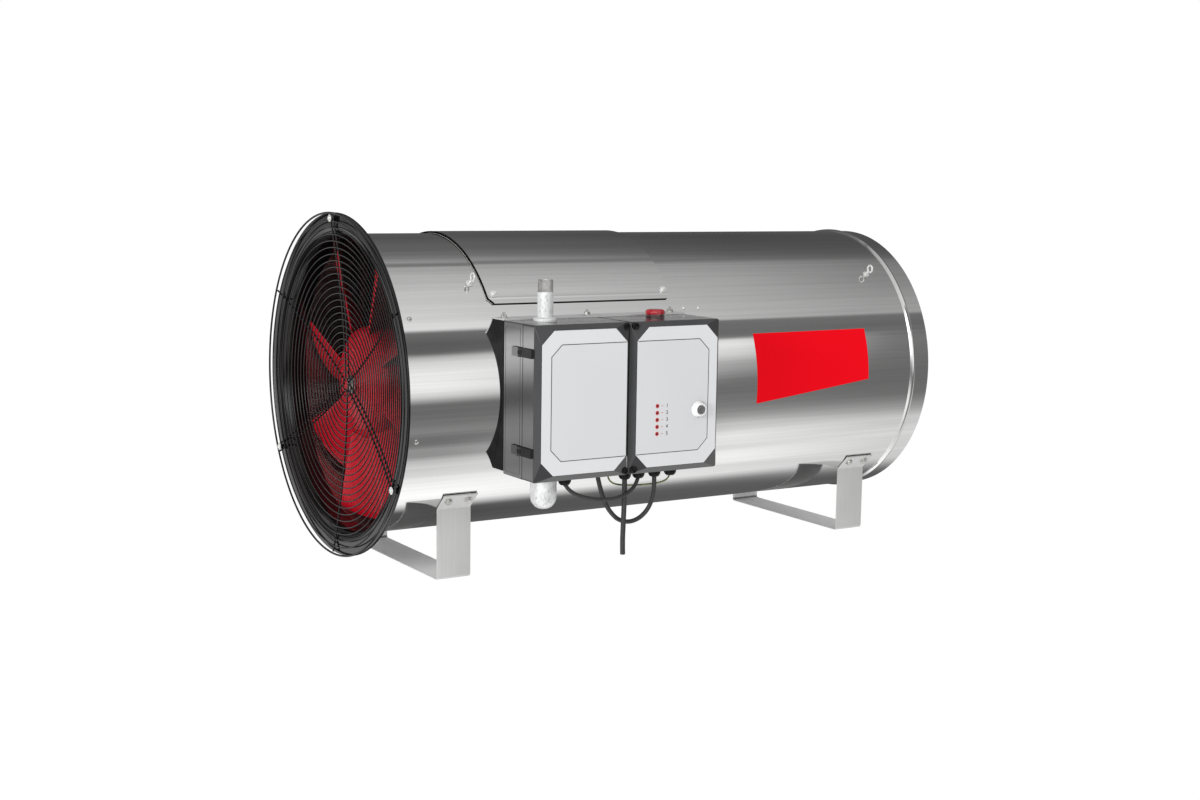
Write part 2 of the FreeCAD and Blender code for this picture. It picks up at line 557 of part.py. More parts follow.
# control parts
comp = [box(384, 545, -291, -289, 292, 440)]
comp += [cyl(x, -289.5, z, "Y", 3, 15.3) for x in (390, 539) for z in (298, 434)]
comp += [box(392, 418, -308, -290, 395, 430), box(424, 450, -308, -290, 395, 430), box(458, 490, -312, -290, 390, 432), box(400, 470, -300, -290, 350, 372),
         box(500, 540, -304, -290, 300, 425), box(396, 486, -302, -290, 300, 314)]
node(cut(fuse(comp), [cyl(430, -300, AZ, "Y", 12, 30)]), "control_board")
node(fuse([box(470, 545, -322, -274.2, 210, 276), cyl(486, -300, 275, "Z", 6, 9), cyl(520, -300, 275, "Z", 6, 9)]), "ignition_transformer")
lx, lamp_y = D("lamp_x"), D("lamp_y")
node(fuse([turned([(q(0), top + 0.05), (q(16.6), top + 0.05), (q(16.6), top + 5), (q(0), top + 5)], lx, lamp_y, 0),
           cyl(lx, lamp_y, top - 12, "Z", 8, 13)]), "alarm_lamp_base")
node(turned([(q(0), top + 5.05), (q(17.3), top + 5.05), (q(17.3), top + 9), (q(16.2), top + 11.4), (q(13), top + 12.9), (q(7), top + 13.5), (q(0), top + 13.6)], lx, lamp_y, 0), "alarm_lamp_lens")

# lids
ins = D("panel_in")
inz, inl = D("panel_in_z"), D("panel_low")
pc_ = D("panel_cut")
bv = D("bevel")


def octagon(x0, x1, grow):
    a0, a1, c0, c1 = x0 + ins - grow, x1 - ins + grow, bz + inl - grow, top - inz + grow
    k = pc_
    return [(a0, c0 + k), (a0 + k, c0), (a1 - k, c0), (a1, c0 + k), (a1, c1 - k), (a1 - k, c1), (a0 + k, c1), (a0, c1 - k)]


def shift(pts, x):
    return [(a - x, b) for a, b in pts]


def lid(x0, x1, sx, extra):
    w = doc.addObject("Part::Wedge", uid("wedge"))
    L, H = x1 - x0, bt
    for prop, val in (("Xmin", bv), ("Xmax", L - bv), ("Zmin", inl), ("Zmax", H - inz), ("X2min", 0), ("X2max", L), ("Z2min", 0), ("Z2max", H), ("Ymin", 0)):
        bind(w, prop, val)
    bind(w, "Ymax", by_ - fy)
    place(w, x0, fy, bz)
    solid = fuse([w, box(x0, x1, by_, ly, bz, top)])
    tools = [box(x0 + wl, x1 - wl, by_ + 2, ly + 5, bz + wl, top - wl), box(x0 + 14, x1 - 14, fy + 4.3, by_ + 3, bz + 14, top - 14)]
    mid = (x0 + x1) / 2
    tools.append(pad("XZ_Plane", shift(octagon(x0, x1, 0.1), mid), 5.2, mid, fy, 0))
    tools += [cyl(sx, fy - 5, z, "Y", 4.5, 30) for z in (bz + 9.0, top - 7.0)]
    return cut(solid, tools + extra)


def panel(x0, x1, extra):
    mid = (x0 + x1) / 2
    p = pad("XZ_Plane", shift(octagon(x0, x1, 0), mid), D("panel_t"), mid, D("panel_face") + D("panel_t") / 2, 0)
    return cut(p, extra) if extra else p


rx, rz = D("reset_x"), D("reset_z")
sg, sc = x1 - 8.5, x2 + 8.0
node(lid(b0, x1, sg, []), "gas_lid")
node(lid(x2, xe, sc, [cyl(rx, -395, rz, "Y", D("reset_r") + 0.4, 25)]), "control_lid")
node(panel(b0, x1, []), "gas_panel")
leds = [(D("led_x"), D("led_z") - D("led_pitch") * k) for k in range(5)]
node(panel(x2, xe, [cyl(rx, -395, rz, "Y", D("reset_r") + 0.4, 25)] + [cyl(x, -395, z, "Y", 2.55, 25) for x, z in leds]), "control_panel")
for label, sx in (("gas_lid_screws", sg), ("control_lid_screws", sc)):
    node(group([fuse([cyl(sx, fy + 4.5, z, "Y", 4.4, 4), cyl(sx, fy + 8, z, "Y", 2.5, 32)]) for z in (bz + 9.0, top - 7.0)]), label)
pf = D("panel_face")
node(group([fuse([cyl(x, pf - 0.9, z, "Y", 2.5, 3.8)]) for x, z in leds]), "status_leds")
node(cut(fuse([cyl(rx, pf - 4.0, rz, "Y", 15, 3.97), cyl(rx, pf - 7.4, rz, "Y", 13.2, 4), cyl(rx, pf - 10.0, rz, "Y", 11.4, 3)]), [cyl(rx, -400, rz, "Y", D("reset_r") + 0.4, 25)]), "reset_bezel")
node(fuse([cyl(rx, pf - 11.0, rz, "Y", D("reset_r"), 18), cyl(rx, pf - 11.6, rz, "Y", D("reset_r") - 1.2, 2)]), "reset_button")

# hinges: base knuckles at both ends, lid knuckle between them, one pin each; the control side has slim ones
hy, ht = D("hinge_y"), D("hinge_tall")
pins, base_leaves, lid_leaves = [], [], {"gas": [], "control": []}
for which, side, s, ho, pin, leaf, root, knuckle, reach in (("gas", b0, -1, D("hinge_off"), D("pin_r"), 6, 8, 5, -376),
                                                            ("control", xe, 1, D("slim_off"), D("slim_pin_r"), 1.4, 4, 2.5, -364)):
    ax = side + ho * s
    def span(a, b):
        return (side - b, side - a) if s < 0 else (side + a, side + b)
    for zc in (D("hinge_low_z"), D("hinge_high_z")):
        z0, z1 = zc - ht / 2, zc + ht / 2
        p0, p1 = span(0, leaf)
        k0, k1 = span(0, root)
        bl = fuse([box(p0, p1, hy + 5.6, -310, z0, z1), box(k0, k1, hy, hy + 5.6, z0, zc - 3.3), box(k0, k1, hy, hy + 5.6, zc + 3.3, z1),
                   cyl(ax, hy, z0, "Z", knuckle, ht / 2 - 3.3), cyl(ax, hy, zc + 3.3, "Z", knuckle, ht / 2 - 3.3)])
        base_leaves.append(cut(bl, [cyl(ax, hy, z0 - 5, "Z", pin + 0.03, ht + 10)]))
        ll = fuse([box(p0, p1, reach, hy - 5.6, z0, z1), box(k0, k1, hy - 5.6, hy, zc - 3.0, zc + 3.0), cyl(ax, hy, zc - 3.0, "Z", knuckle, 6)])
        lid_leaves[which].append(cut(ll, [cyl(ax, hy, z0 - 5, "Z", pin + 0.06, ht + 10)]))
        pins.append(cyl(ax, hy, z0, "Z", pin, ht))
node(group(base_leaves), "base_hinge_leaves")
node(group(pins), "hinge_pins")
node(group(lid_leaves["gas"]), "gas_lid_hinges")
node(group(lid_leaves["control"]), "control_lid_hinges")

# glands
bodies = [fuse([hexa(x, gy, bz - 6.1, "Z", 11.8, 6), cyl(x, gy, bz - 1, "Z", 8, 8)]) for x in glands]
bodies[1] = cut(bodies[1], [cyl(glands[1], gy, bz - 16, "Z", 5.4, 13.2)])
node(group(bodies), "gland_bodies")
node(group([turned([(q(0), gl + 4), (q(6.6), gl + 4), (q(6.6), gl), (q(7.5), gl), (q(10), gl + 3), (q(11.5), gl + 8), (q(11.5), bz - 6.15), (q(0), bz - 6.15)], x, gy, 0) for x in glands if x != 348.5]), "gland_nuts")

# ---------------------------------------------------------------- cables
ROUTES = {
    "link_cable_short": (3.4, [(283.6, -315, 178.6), (289.4, -317, 169.2), (299, -320, 161.4), (312.4, -323.4, 155.2), (330.6, -326.6, 150.2), (351, -329, 147.2),
                               (372, -329.6, 146.8), (390.7, -328.8, 149.4), (406.6, -325.9, 154.6), (418.6, -322.2, 161.2), (427.6, -318.4, 169.2), (433.2, -315, 178.6)]),
    "link_cable_long": (4.0, [(348.2, -315, 191.9), (352, -314.4, 178), (357, -313, 163.5), (364, -311, 146.5), (373, -308.5, 130.5), (385, -306, 115.8), (401, -303.5, 102.4),
                              (424, -301.5, 95.6), (446.5, -302, 101.2), (463, -305, 118), (468.6, -309.5, 140), (468.4, -313.5, 160), (466.5, -315, 179)]),
    "mains_lead": (4.5, [(404.9, -315, 179.5), (404.5, -315.9, 152), (402.6, -318.2, 122), (401, -319, 92), (401.2, -317.5, 66), (402.3, -317, 44)]),
    "earth_wire": (1.5, [(384, -292, 188.5), (384.5, -292, 176.5), (394, -291.5, 166.5), (412, -291, 161.5), (434, -291.5, 159.5), (457, -294, 159), (476, -300, 160.5),
                         (490.5, -307.5, 164), (497.9, -313, 170.5), (499.8, -315, 178.5)]),
}
for label, (r, pts) in ROUTES.items():
    P = [V(*p) for p in pts]
    runs = [(P[i + 1] - P[i]).Length for i in range(len(P) - 1)]
    edges, last, length, radii = [], P[0], 0.0, []
    for i in range(1, len(P) - 1):
        a, b = (P[i] - P[i - 1]), (P[i + 1] - P[i])
        a.normalize(); b.normalize()
        turn_a = a.getAngle(b)
        rad = 0.45 * min(runs[i - 1], runs[i]) / math.tan(turn_a / 2)
        d = rad * math.tan(turn_a / 2)
        s, e = P[i] - a * d, P[i] + b * d
        bis = (b - a)
        bis.normalize()
        mid = P[i] + bis * (rad / math.cos(turn_a / 2) - rad)
        edges.append(Part.LineSegment(last, s).toShape())
        edges.append(Part.Arc(s, mid, e).toShape())
        length += (s - last).Length + rad * turn_a
        last = e
        radii.append(round(rad, 1))
    edges.append(Part.LineSegment(last, P[-1]).toShape())
    length += (P[-1] - last).Length
    w = Part.Wire(edges)
    c = Part.Wire([Part.makeCircle(r, P[0], P[1] - P[0])])
    s = w.makePipeShell([c], True, True)
    print(label, "length %.1f" % length, "radii", radii, "volume ratio %.4f" % (s.Volume / (math.pi * r * r * length)), "diameters", [round(x / (2 * r), 1) for x in radii])
    node(feature(s), label)

# ---------------------------------------------------------------- checks and export
doc.recompute()
bad = [o.Name for o in doc.Objects if "Invalid" in o.State or "Error" in o.State]
if bad:
    raise SystemExit("failed objects: %s" % bad)
for label, o in nodes.items():
    if o.Shape.isNull() or not o.Shape.isValid() or not o.Shape.Solids:
        raise SystemExit("bad shape: %s" % label)
os.makedirs("parts", exist_ok=True)
whole = FreeCAD.BoundBox()
cords = set(ROUTES)
for label, o in nodes.items():
    o.Shape.exportStep("parts/%s.step" % label)
    if label not in cords:
        whole.add(o.Shape.BoundBox)
print(len(nodes), "nodes; box", whole)
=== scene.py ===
"""Looks of a propane greenhouse heater: polished casing, guarded inlet fan, two plastic boxes and strip feet.
Working numbers are millimetres: x from the rim of the inlet ring, y from the casing axis, z from the floor."""

import json
import math

import bmesh
import bpy
from mathutils import Matrix, Vector

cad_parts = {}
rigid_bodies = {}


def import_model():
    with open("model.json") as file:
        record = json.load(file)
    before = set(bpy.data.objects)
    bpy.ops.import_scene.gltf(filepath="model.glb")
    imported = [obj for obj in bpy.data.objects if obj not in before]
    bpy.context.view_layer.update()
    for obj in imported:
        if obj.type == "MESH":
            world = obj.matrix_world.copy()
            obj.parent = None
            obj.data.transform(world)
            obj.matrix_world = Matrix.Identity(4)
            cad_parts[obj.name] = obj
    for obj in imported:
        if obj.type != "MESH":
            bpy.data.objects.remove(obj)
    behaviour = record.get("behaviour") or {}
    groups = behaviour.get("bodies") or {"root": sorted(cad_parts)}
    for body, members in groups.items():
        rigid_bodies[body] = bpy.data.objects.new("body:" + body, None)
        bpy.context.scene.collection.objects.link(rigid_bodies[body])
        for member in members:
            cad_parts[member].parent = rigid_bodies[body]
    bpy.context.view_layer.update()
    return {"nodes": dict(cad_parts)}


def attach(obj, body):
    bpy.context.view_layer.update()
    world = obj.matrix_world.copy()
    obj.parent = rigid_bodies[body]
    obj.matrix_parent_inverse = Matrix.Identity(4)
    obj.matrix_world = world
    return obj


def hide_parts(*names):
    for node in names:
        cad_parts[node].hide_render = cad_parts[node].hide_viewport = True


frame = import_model()
scene = bpy.context.scene
scene.view_settings.view_transform = "Standard"

MM = 0.001
OX, OY, AZ = -567.75, 46.65, 327.5
ROOT = "heater_body"


def W(x, y, z):
    """Working millimetres to the shared frame in metres."""
    return Vector(((x + OX) * MM, (y + OY) * MM, z * MM))


def deg(a):
    return math.radians(a)


# ------------------------------------------------------------------ camera
yaw, pitch, roll = deg(31.78991), deg(7.62425), deg(0.86774)
fw = Vector((math.sin(yaw) * math.cos(pitch), math.cos(yaw) * math.cos(pitch), -math.sin(pitch)))
rt = Vector((math.cos(yaw), -math.sin(yaw), 0.0))
up = rt.cross(fw)
cam_x = rt * math.cos(roll) + up * math.sin(roll)
cam_y = up * math.cos(roll) - rt * math.sin(roll)
cam_at = W(-1138.82, -2720.70, 697.46)
cam_data = bpy.data.cameras.new("camera")
cam_data.lens, cam_data.sensor_width = 50.02, 36.0
cam_data.clip_start, cam_data.clip_end = 0.05, 100.0
camera = bpy.data.objects.new("camera", cam_data)
camera.matrix_world = Matrix(((cam_x.x, cam_y.x, -fw.x, cam_at.x), (cam_x.y, cam_y.y, -fw.y, cam_at.y),
                              (cam_x.z, cam_y.z, -fw.z, cam_at.z), (0, 0, 0, 1)))
scene.collection.objects.link(camera)
scene.camera = camera


# ------------------------------------------------------------------ materials
def material(name, color, rough, metal=0.0, **sockets):
    m = bpy.data.materials.new(name)
    m.use_nodes = True
    b = m.node_tree.nodes["Principled BSDF"]
    b.inputs["Base Color"].default_value = (*color, 1.0)
    b.inputs["Roughness"].default_value = rough
    b.inputs["Metallic"].default_value = metal
    for key, val in sockets.items():
        b.inputs[key.replace("_", " ")].default_value = val
    return m


def noise(m, scale, stretch=(1, 1, 1), detail=3.0, rough=0.55):
    nt = m.node_tree
    tc = nt.nodes.new("ShaderNodeTexCoord")
    mp = nt.nodes.new("ShaderNodeMapping")
    mp.inputs["Scale"].default_value = stretch
    tx = nt.nodes.new("ShaderNodeTexNoise")
    tx.inputs["Scale"].default_value = scale
    tx.inputs["Detail"].default_value = detail
    tx.inputs["Roughness"].default_value = rough
    nt.links.new(tc.outputs["Object"], mp.inputs["Vector"])
    nt.links.new(mp.outputs["Vector"], tx.inputs["Vector"])
    return tx.outputs["Fac"]


def cells(m, scale, stretch=(1, 1, 1)):
    nt = m.node_tree
    tc = nt.nodes.new("ShaderNodeTexCoord")
    mp = nt.nodes.new("ShaderNodeMapping")
    mp.inputs["Scale"].default_value = stretch
    tx = nt.nodes.new("ShaderNodeTexVoronoi")
    tx.inputs["Scale"].default_value = scale
    nt.links.new(tc.outputs["Object"], mp.inputs["Vector"])
    nt.links.new(mp.outputs["Vector"], tx.inputs["Vector"])
    sep = nt.nodes.new("ShaderNodeSeparateColor")
    nt.links.new(tx.outputs["Color"], sep.inputs["Color"])
    return sep.outputs[0]


def tint(m, fac, stops):
    """Base colour from a factor."""
    nt = m.node_tree
    r = nt.nodes.new("ShaderNodeValToRGB")
    el = r.color_ramp.elements
    while len(el) < len(stops):
        el.new(0.5)
    for e, (p, c) in zip(el, stops):
        e.position, e.color = p, (*c, 1.0)
    nt.links.new(fac, r.inputs["Fac"])
    nt.links.new(r.outputs["Color"], nt.nodes["Principled BSDF"].inputs["Base Color"])


def gloss(m, fac, low, high, f0=0.3, f1=0.7):
    """Roughness from a factor."""
    nt = m.node_tree
    r = nt.nodes.new("ShaderNodeMapRange")
    r.inputs["From Min"].default_value, r.inputs["From Max"].default_value = f0, f1
    r.inputs["To Min"].default_value, r.inputs["To Max"].default_value = low, high
    nt.links.new(fac, r.inputs["Value"])
    nt.links.new(r.outputs["Result"], nt.nodes["Principled BSDF"].inputs["Roughness"])


def relief(m, fac, strength, distance):
    nt = m.node_tree
    old = nt.nodes["Principled BSDF"].inputs["Normal"]
    b = nt.nodes.new("ShaderNodeBump")
    b.inputs["Strength"].default_value = strength
    b.inputs["Distance"].default_value = distance
    if old.links:
        nt.links.new(old.links[0].from_socket, b.inputs["Normal"])
    nt.links.new(fac, b.inputs["Height"])
    nt.links.new(b.outputs["Normal"], old)


def shades(c, d):
    return tuple(max(0.0, x * (1 - d)) for x in c), tuple(min(1.0, x * (1 + d)) for x in c)


def plain(name, color, rough, metal=0.0, vary=0.10, scale=22.0, grain=900.0, grain_h=0.00002, **sockets):
    """A finish with slight mottling, uneven gloss and a fine grain."""
    m = material(name, color, rough, metal, **sockets)
    lo, hi = shades(color, vary)
    n = noise(m, scale)
    tint(m, n, [(0.3, lo), (0.7, hi)])
    gloss(m, noise(m, scale * 2.3, detail=4.0), rough * 0.85, rough * 1.2)
    relief(m, noise(m, grain, detail=2.0), 0.25, grain_h)
    return m


# rolled steel sheet: lines of the rolling run along the casing
STEEL = material("polished_stainless", (0.66, 0.66, 0.655), 0.07, 1.0)
streak = noise(STEEL, 1.0, (1.6, 170.0, 170.0), 4.0, 0.6)
tint(STEEL, streak, [(0.3, (0.62, 0.62, 0.617)), (0.7, (0.70, 0.70, 0.695))])
gloss(STEEL, noise(STEEL, 1.0, (0.8, 520.0, 520.0), 3.0), 0.045, 0.10)
relief(STEEL, noise(STEEL, 1.0, (0.9, 38.0, 38.0), 2.0), 0.14, 0.00026)
relief(STEEL, noise(STEEL, 1.0, (2.0, 420.0, 420.0), 3.0), 0.06, 0.00004)
SATIN = material("satin_stainless", (0.60, 0.60, 0.595), 0.50, 0.5)
tint(SATIN, noise(SATIN, 1.0, (420.0, 6.0, 6.0), 3.0), [(0.3, (0.575, 0.575, 0.57)), (0.7, (0.625, 0.625, 0.62))])
gloss(SATIN, noise(SATIN, 30.0), 0.44, 0.56)
relief(SATIN, noise(SATIN, 1.0, (700.0, 8.0, 8.0), 2.0), 0.12, 0.00003)
# shaded and lit copies of the satin steel for the feet: painted shade on the inner faces of the tabs, painted shade on
# the strip tops under the casing (lightened at grazing views by a strong sheen), and a lighter diffuse copy as painted
# light on the uprights' inner faces
SHADE = plain("satin_painted_shade", (0.075, 0.075, 0.0745), 0.50, 0.4, 0.06, 40.0)
STRIP_TOP_SHADE = plain("satin_strip_top_painted_shade", (0.10, 0.10, 0.0995), 0.50, 0.0, 0.05, 40.0, Sheen_Weight=1.0, Sheen_Roughness=0.58)
UPRIGHT_LIT = plain("satin_upright_painted_light", (0.72, 0.72, 0.715), 0.50, 0.15, 0.05, 40.0)
INNER = material("inner_steel", (0.40, 0.39, 0.375), 0.38, 1.0)
tint(INNER, noise(INNER, 5.0, (1, 1, 1), 5.0), [(0.3, (0.30, 0.285, 0.265)), (0.7, (0.46, 0.455, 0.445))])
gloss(INNER, noise(INNER, 1.0, (3.0, 120.0, 120.0)), 0.30, 0.5)
ZINC = plain("zinc_fastener", (0.60, 0.595, 0.575), 0.15, 1.0, 0.10, 120.0, 1400.0, 0.00001)
BRIGHT = plain("bright_zinc", (0.70, 0.70, 0.685), 0.30, 0.5, 0.06, 120.0, 1400.0, 0.00001)
RUBBER = plain("seal_rubber", (0.004, 0.004, 0.004), 0.75, 0.0, 0.2, 60.0, 1600.0, Specular_IOR_Level=0.08)
BLACK = plain("black_gloss", (0.0025, 0.0025, 0.0029), 0.13, 0.0, 0.25, 18.0, 700.0, 0.00003, Specular_IOR_Level=0.30, Coat_Weight=0.12, Coat_Roughness=0.08)
SADDLE = plain("saddle_black", (0.008, 0.008, 0.0085), 0.48, 0.0, 0.2, 18.0, 500.0, 0.00002, Specular_IOR_Level=0.06)
WIRE = plain("guard_black", (0.002, 0.002, 0.0023), 0.14, 0.0, 0.2, 60.0, 900.0, 0.00002, Specular_IOR_Level=0.38, Coat_Weight=0.22, Coat_Roughness=0.07)
RED = plain("fan_red", (0.38, 0.003, 0.012), 0.34, 0.0, 0.10, 14.0, 800.0, 0.00003, Specular_IOR_Level=0.30, Coat_Weight=0.08, Coat_Roughness=0.15)
SHAFT = plain("shaft_steel", (0.50, 0.50, 0.49), 0.3, 1.0, 0.1, 90.0)
MOTOR = plain("motor_grey", (0.10, 0.105, 0.115), 0.45, 0.0, 0.15, 30.0)
HOT = material("burner_steel", (0.34, 0.30, 0.26), 0.42, 1.0)
tint(HOT, noise(HOT, 7.0, (1, 1, 1), 5.0), [(0.25, (0.20, 0.17, 0.20)), (0.5, (0.36, 0.30, 0.24)), (0.75, (0.46, 0.42, 0.37))])
gloss(HOT, noise(HOT, 24.0), 0.34, 0.52)
BRASS = plain("brass", (0.72, 0.50, 0.19), 0.3, 1.0, 0.12, 60.0)
GALV = material("galvanised", (0.88, 0.885, 0.885), 0.40, 0.35)
tint(GALV, noise(GALV, 330.0, (1.0, 1.0, 0.45), 2.0, 0.4), [(0.25, (0.20, 0.20, 0.205)), (0.345, (0.62, 0.625, 0.625)), (0.7, (0.78, 0.785, 0.785))])
gloss(GALV, noise(GALV, 160.0), 0.30, 0.48)
relief(GALV, noise(GALV, 420.0, detail=3.0), 0.22, 0.00008)
THREAD = plain("cut_thread", (0.56, 0.55, 0.535), 0.36, 0.8, 0.25, 140.0)
CERAMIC = plain("ceramic", (0.80, 0.77, 0.70), 0.3, 0.0, 0.04, 40.0)
STAT = plain("thermostat_black", (0.02, 0.02, 0.021), 0.5, 0.0, 0.15, 60.0)
CHAR_SIDE = plain("charcoal_side", (0.036, 0.036, 0.038), 0.17, 0.0, 0.08, 20.0, 420.0, 0.00002, Specular_IOR_Level=1.0, Coat_Weight=0.6, Coat_Roughness=0.10)
HINGE_LID = plain("hinge_lid_black", (0.014, 0.014, 0.0145), 0.45, 0.0, 0.05, 60.0, Specular_IOR_Level=0.12)
HINGE_BASE = plain("hinge_base_black", (0.022, 0.022, 0.023), 0.2, 0.0, 0.08, 60.0, Specular_IOR_Level=0.45, Coat_Weight=0.22, Coat_Roughness=0.10)
CHAR = plain("charcoal_plastic", (0.036, 0.036, 0.038), 0.17, 0.0, 0.08, 20.0, 420.0, 0.00002, Specular_IOR_Level=0.45, Coat_Weight=0.22, Coat_Roughness=0.10)
HINGE = plain("hinge_black", (0.007, 0.007, 0.007), 0.36, 0.0, 0.2, 60.0, Specular_IOR_Level=0.14)
PANEL = plain("panel_grey", (0.62, 0.625, 0.635), 0.42, 0.0, 0.015, 9.0, 1200.0, 0.00001)
SHEET = plain("panel_sheet", (0.585, 0.59, 0.60), 0.36, 0.0, 0.012, 7.0, 1500.0, 0.000008)
INK = plain("panel_line", (0.035, 0.035, 0.037), 0.5, 0.0, 0.1, 60.0)
BOARD = plain("board_green", (0.015, 0.10, 0.045), 0.4, 0.0, 0.25, 140.0)
BLUE = plain("transformer_blue", (0.03, 0.06, 0.16), 0.4, 0.0, 0.12, 40.0)
LAMP_BASE = plain("lamp_black", (0.050, 0.012, 0.015), 0.14, 0.0, 0.15, 60.0, Coat_Weight=0.7, Coat_Roughness=0.05)
LENS = plain("lamp_red", (0.36, 0.004, 0.014), 0.14, 0.0, 0.06, 60.0, 900.0, 0.000003, Coat_Weight=0.6, Coat_Roughness=0.06)
LED = plain("led_red", (0.16, 0.004, 0.008), 0.15, 0.0, 0.15, 300.0)
LED_RING = plain("led_ring", (0.60, 0.05, 0.05), 0.4, 0.0, 0.08, 200.0)
BEZEL = plain("bezel_white", (0.84, 0.84, 0.84), 0.20, 0.25, 0.05, 90.0, Coat_Weight=0.4, Coat_Roughness=0.06)
BUTTON = plain("button_grey", (0.105, 0.105, 0.108), 0.32, 0.0, 0.12, 90.0)
CABLE = plain("cable_black", (0.028, 0.028, 0.029), 0.40, 0.0, 0.18, 60.0, 700.0, 0.00004)
EARTH = material("earth_green", (0.30, 0.42, 0.03), 0.4)
tint(EARTH, noise(EARTH, 1.0, (30.0, 900.0, 30.0), 0.0), [(0.46, (0.055, 0.10, 0.04)), (0.54, (0.24, 0.23, 0.07))])
LABEL = plain("label_red", (0.775, 0.0015, 0.0085), 0.40, 0.0, 0.02, 8.0, 900.0, 0.000004, Specular_IOR_Level=0.03)


# ------------------------------------------------------------------ mesh helpers
class Shape:
    def __init__(self):
        self.v, self.f, self.m = [], [], []

    def add(self, part, slot=0):
        verts, faces = part
        k = len(self.v)
        self.v += [tuple(p) for p in verts]
        self.f += [[i + k for i in f] for f in faces]
        self.m += [slot] * len(faces)
        return self


def finish_mesh(name, me, mats, sharp):
    for p in me.polygons:
        p.use_smooth = True
    me.set_sharp_from_angle(angle=deg(sharp))
    o = bpy.data.objects.new(name, me)
    scene.collection.objects.link(o)
    if len(me.materials):
        me.materials.clear()
    for m in mats:
        me.materials.append(m)
    return o


def build(name, shape, mats, sharp=32.0):
    """An object from a Shape in working millimetres."""
    me = bpy.data.meshes.new(name)
    me.from_pydata([W(*p) for p in shape.v], [], shape.f)
    for p, s in zip(me.polygons, shape.m):
        p.material_index = s
    bm = bmesh.new()
    bm.from_mesh(me)
    bmesh.ops.recalc_face_normals(bm, faces=bm.faces)
    bm.to_mesh(me)
    bm.free()
    return finish_mesh(name, me, mats if isinstance(mats, (list, tuple)) else [mats], sharp)


def settle(o, slot, *nodes, body=ROOT, even=False):
    """Rides on a body and stands for its nodes; the slot argument is not used."""
    if even:
        w = o.modifiers.new("even", "WEIGHTED_NORMAL")
        w.keep_sharp = True
    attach(o, body)
    if nodes:
        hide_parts(*nodes)
    return o


def frame_of(axis):
    a = Vector(axis).normalized()
    ref = Vector((0, 0, 1)) if abs(a.z) < 0.9 else Vector((1, 0, 0))
    u = (ref - a * ref.dot(a)).normalized()
    return a, u, a.cross(u)


def lathe(profile, n, o=(0, 0, AZ), axis=(1, 0, 0), closed=False, turn=0.0):
    """Revolved skin; profile points are (distance along the axis, radius)."""
    a, u, w = frame_of(axis)
    o = Vector(o)
    verts, faces, rows = [], [], []
    for t, r in profile:
        if r < 1e-6:
            rows.append([len(verts)])
            verts.append(o + a * t)
            continue
        rows.append(list(range(len(verts), len(verts) + n)))
        for i in range(n):
            g = 2 * math.pi * i / n + turn
            verts.append(o + a * t + (u * math.cos(g) + w * math.sin(g)) * r)
    pairs = list(zip(rows, rows[1:])) + ([(rows[-1], rows[0])] if closed else [])
    for p, s in pairs:
        for i in range(n):
            j = (i + 1) % n
            if len(p) == 1 and len(s) == 1:
                continue
            if len(p) == 1:
                faces.append([p[0], s[j], s[i]])
            elif len(s) == 1:
                faces.append([p[i], p[j], s[0]])
            else:
                faces.append([p[i], p[j], s[j], s[i]])
    return verts, faces


def soften(pts, r, k=4, closed=True):
    """Polyline with each corner eased by an arc of about radius r; a point may carry its own radius."""
    out, n = [], len(pts)
    for i in range(n):
        p = Vector(pts[i][:2])
        rr = pts[i][2] if len(pts[i]) > 2 else r
        if not closed and i in (0, n - 1) or rr <= 0:
            out.append((p.x, p.y))
            continue
        a, b = Vector(pts[i - 1][:2]) - p, Vector(pts[(i + 1) % n][:2]) - p
        la, lb = a.length, b.length
        a, b = a / la, b / lb
        ang = a.angle(b)
        if ang > deg(178):
            out.append((p.x, p.y))
            continue
        d = min(rr / math.tan(ang / 2), 0.48 * la, 0.48 * lb)
        s, e = p + a * d, p + b * d
        for j in range(k + 1):
            t = j / k
            v = s * (1 - t) ** 2 + p * (2 * t * (1 - t)) + e * t * t
            out.append((v.x, v.y))
    return out


def torus(R, r, n, k, o, axis=(1, 0, 0)):
    return lathe([(r * math.sin(2 * math.pi * j / k), R + r * math.cos(2 * math.pi * j / k)) for j in range(k)], n, o, axis, closed=True)


def sweep(pts, r, k=10):
    """Round bar along a polyline with rounded ends."""
    P = [Vector(p) for p in pts]
    t0 = (P[1] - P[0]).normalized()
    _, u, _ = frame_of(t0)
    verts, faces, rows = [], [], []
    n = len(P)
    prev = t0
    for i in range(n):
        t = (P[min(i + 1, n - 1)] - P[max(i - 1, 0)]).normalized()
        u = (prev.rotation_difference(t) @ u)
        u = (u - t * u.dot(t)).normalized()
        prev = t
        w = t.cross(u)
        steps = [(0.0, 1.0)]
        if i == 0:
            steps = [(-0.0, 0.0), (0.0, 0.8), (0.2 * r, 1.0)]
        elif i == n - 1:
            steps = [(-0.2 * r, 1.0), (0.0, 0.8), (0.0, 0.0)]
        for dt, s in steps:
            c = P[i] + t * dt
            if s == 0.0:
                rows.append([len(verts)])
                verts.append(c)
            else:
                rows.append(list(range(len(verts), len(verts) + k)))
                verts += [c + (u * math.cos(2 * math.pi * j / k) + w * math.sin(2 * math.pi * j / k)) * r * s for j in range(k)]
    for p, s in zip(rows, rows[1:]):
        for i in range(k):
            j = (i + 1) % k
            if len(p) == 1:
                faces.append([p[0], s[j], s[i]])
            elif len(s) == 1:
                faces.append([p[i], p[j], s[0]])
            else:
                faces.append([p[i], p[j], s[j], s[i]])
    return verts, faces


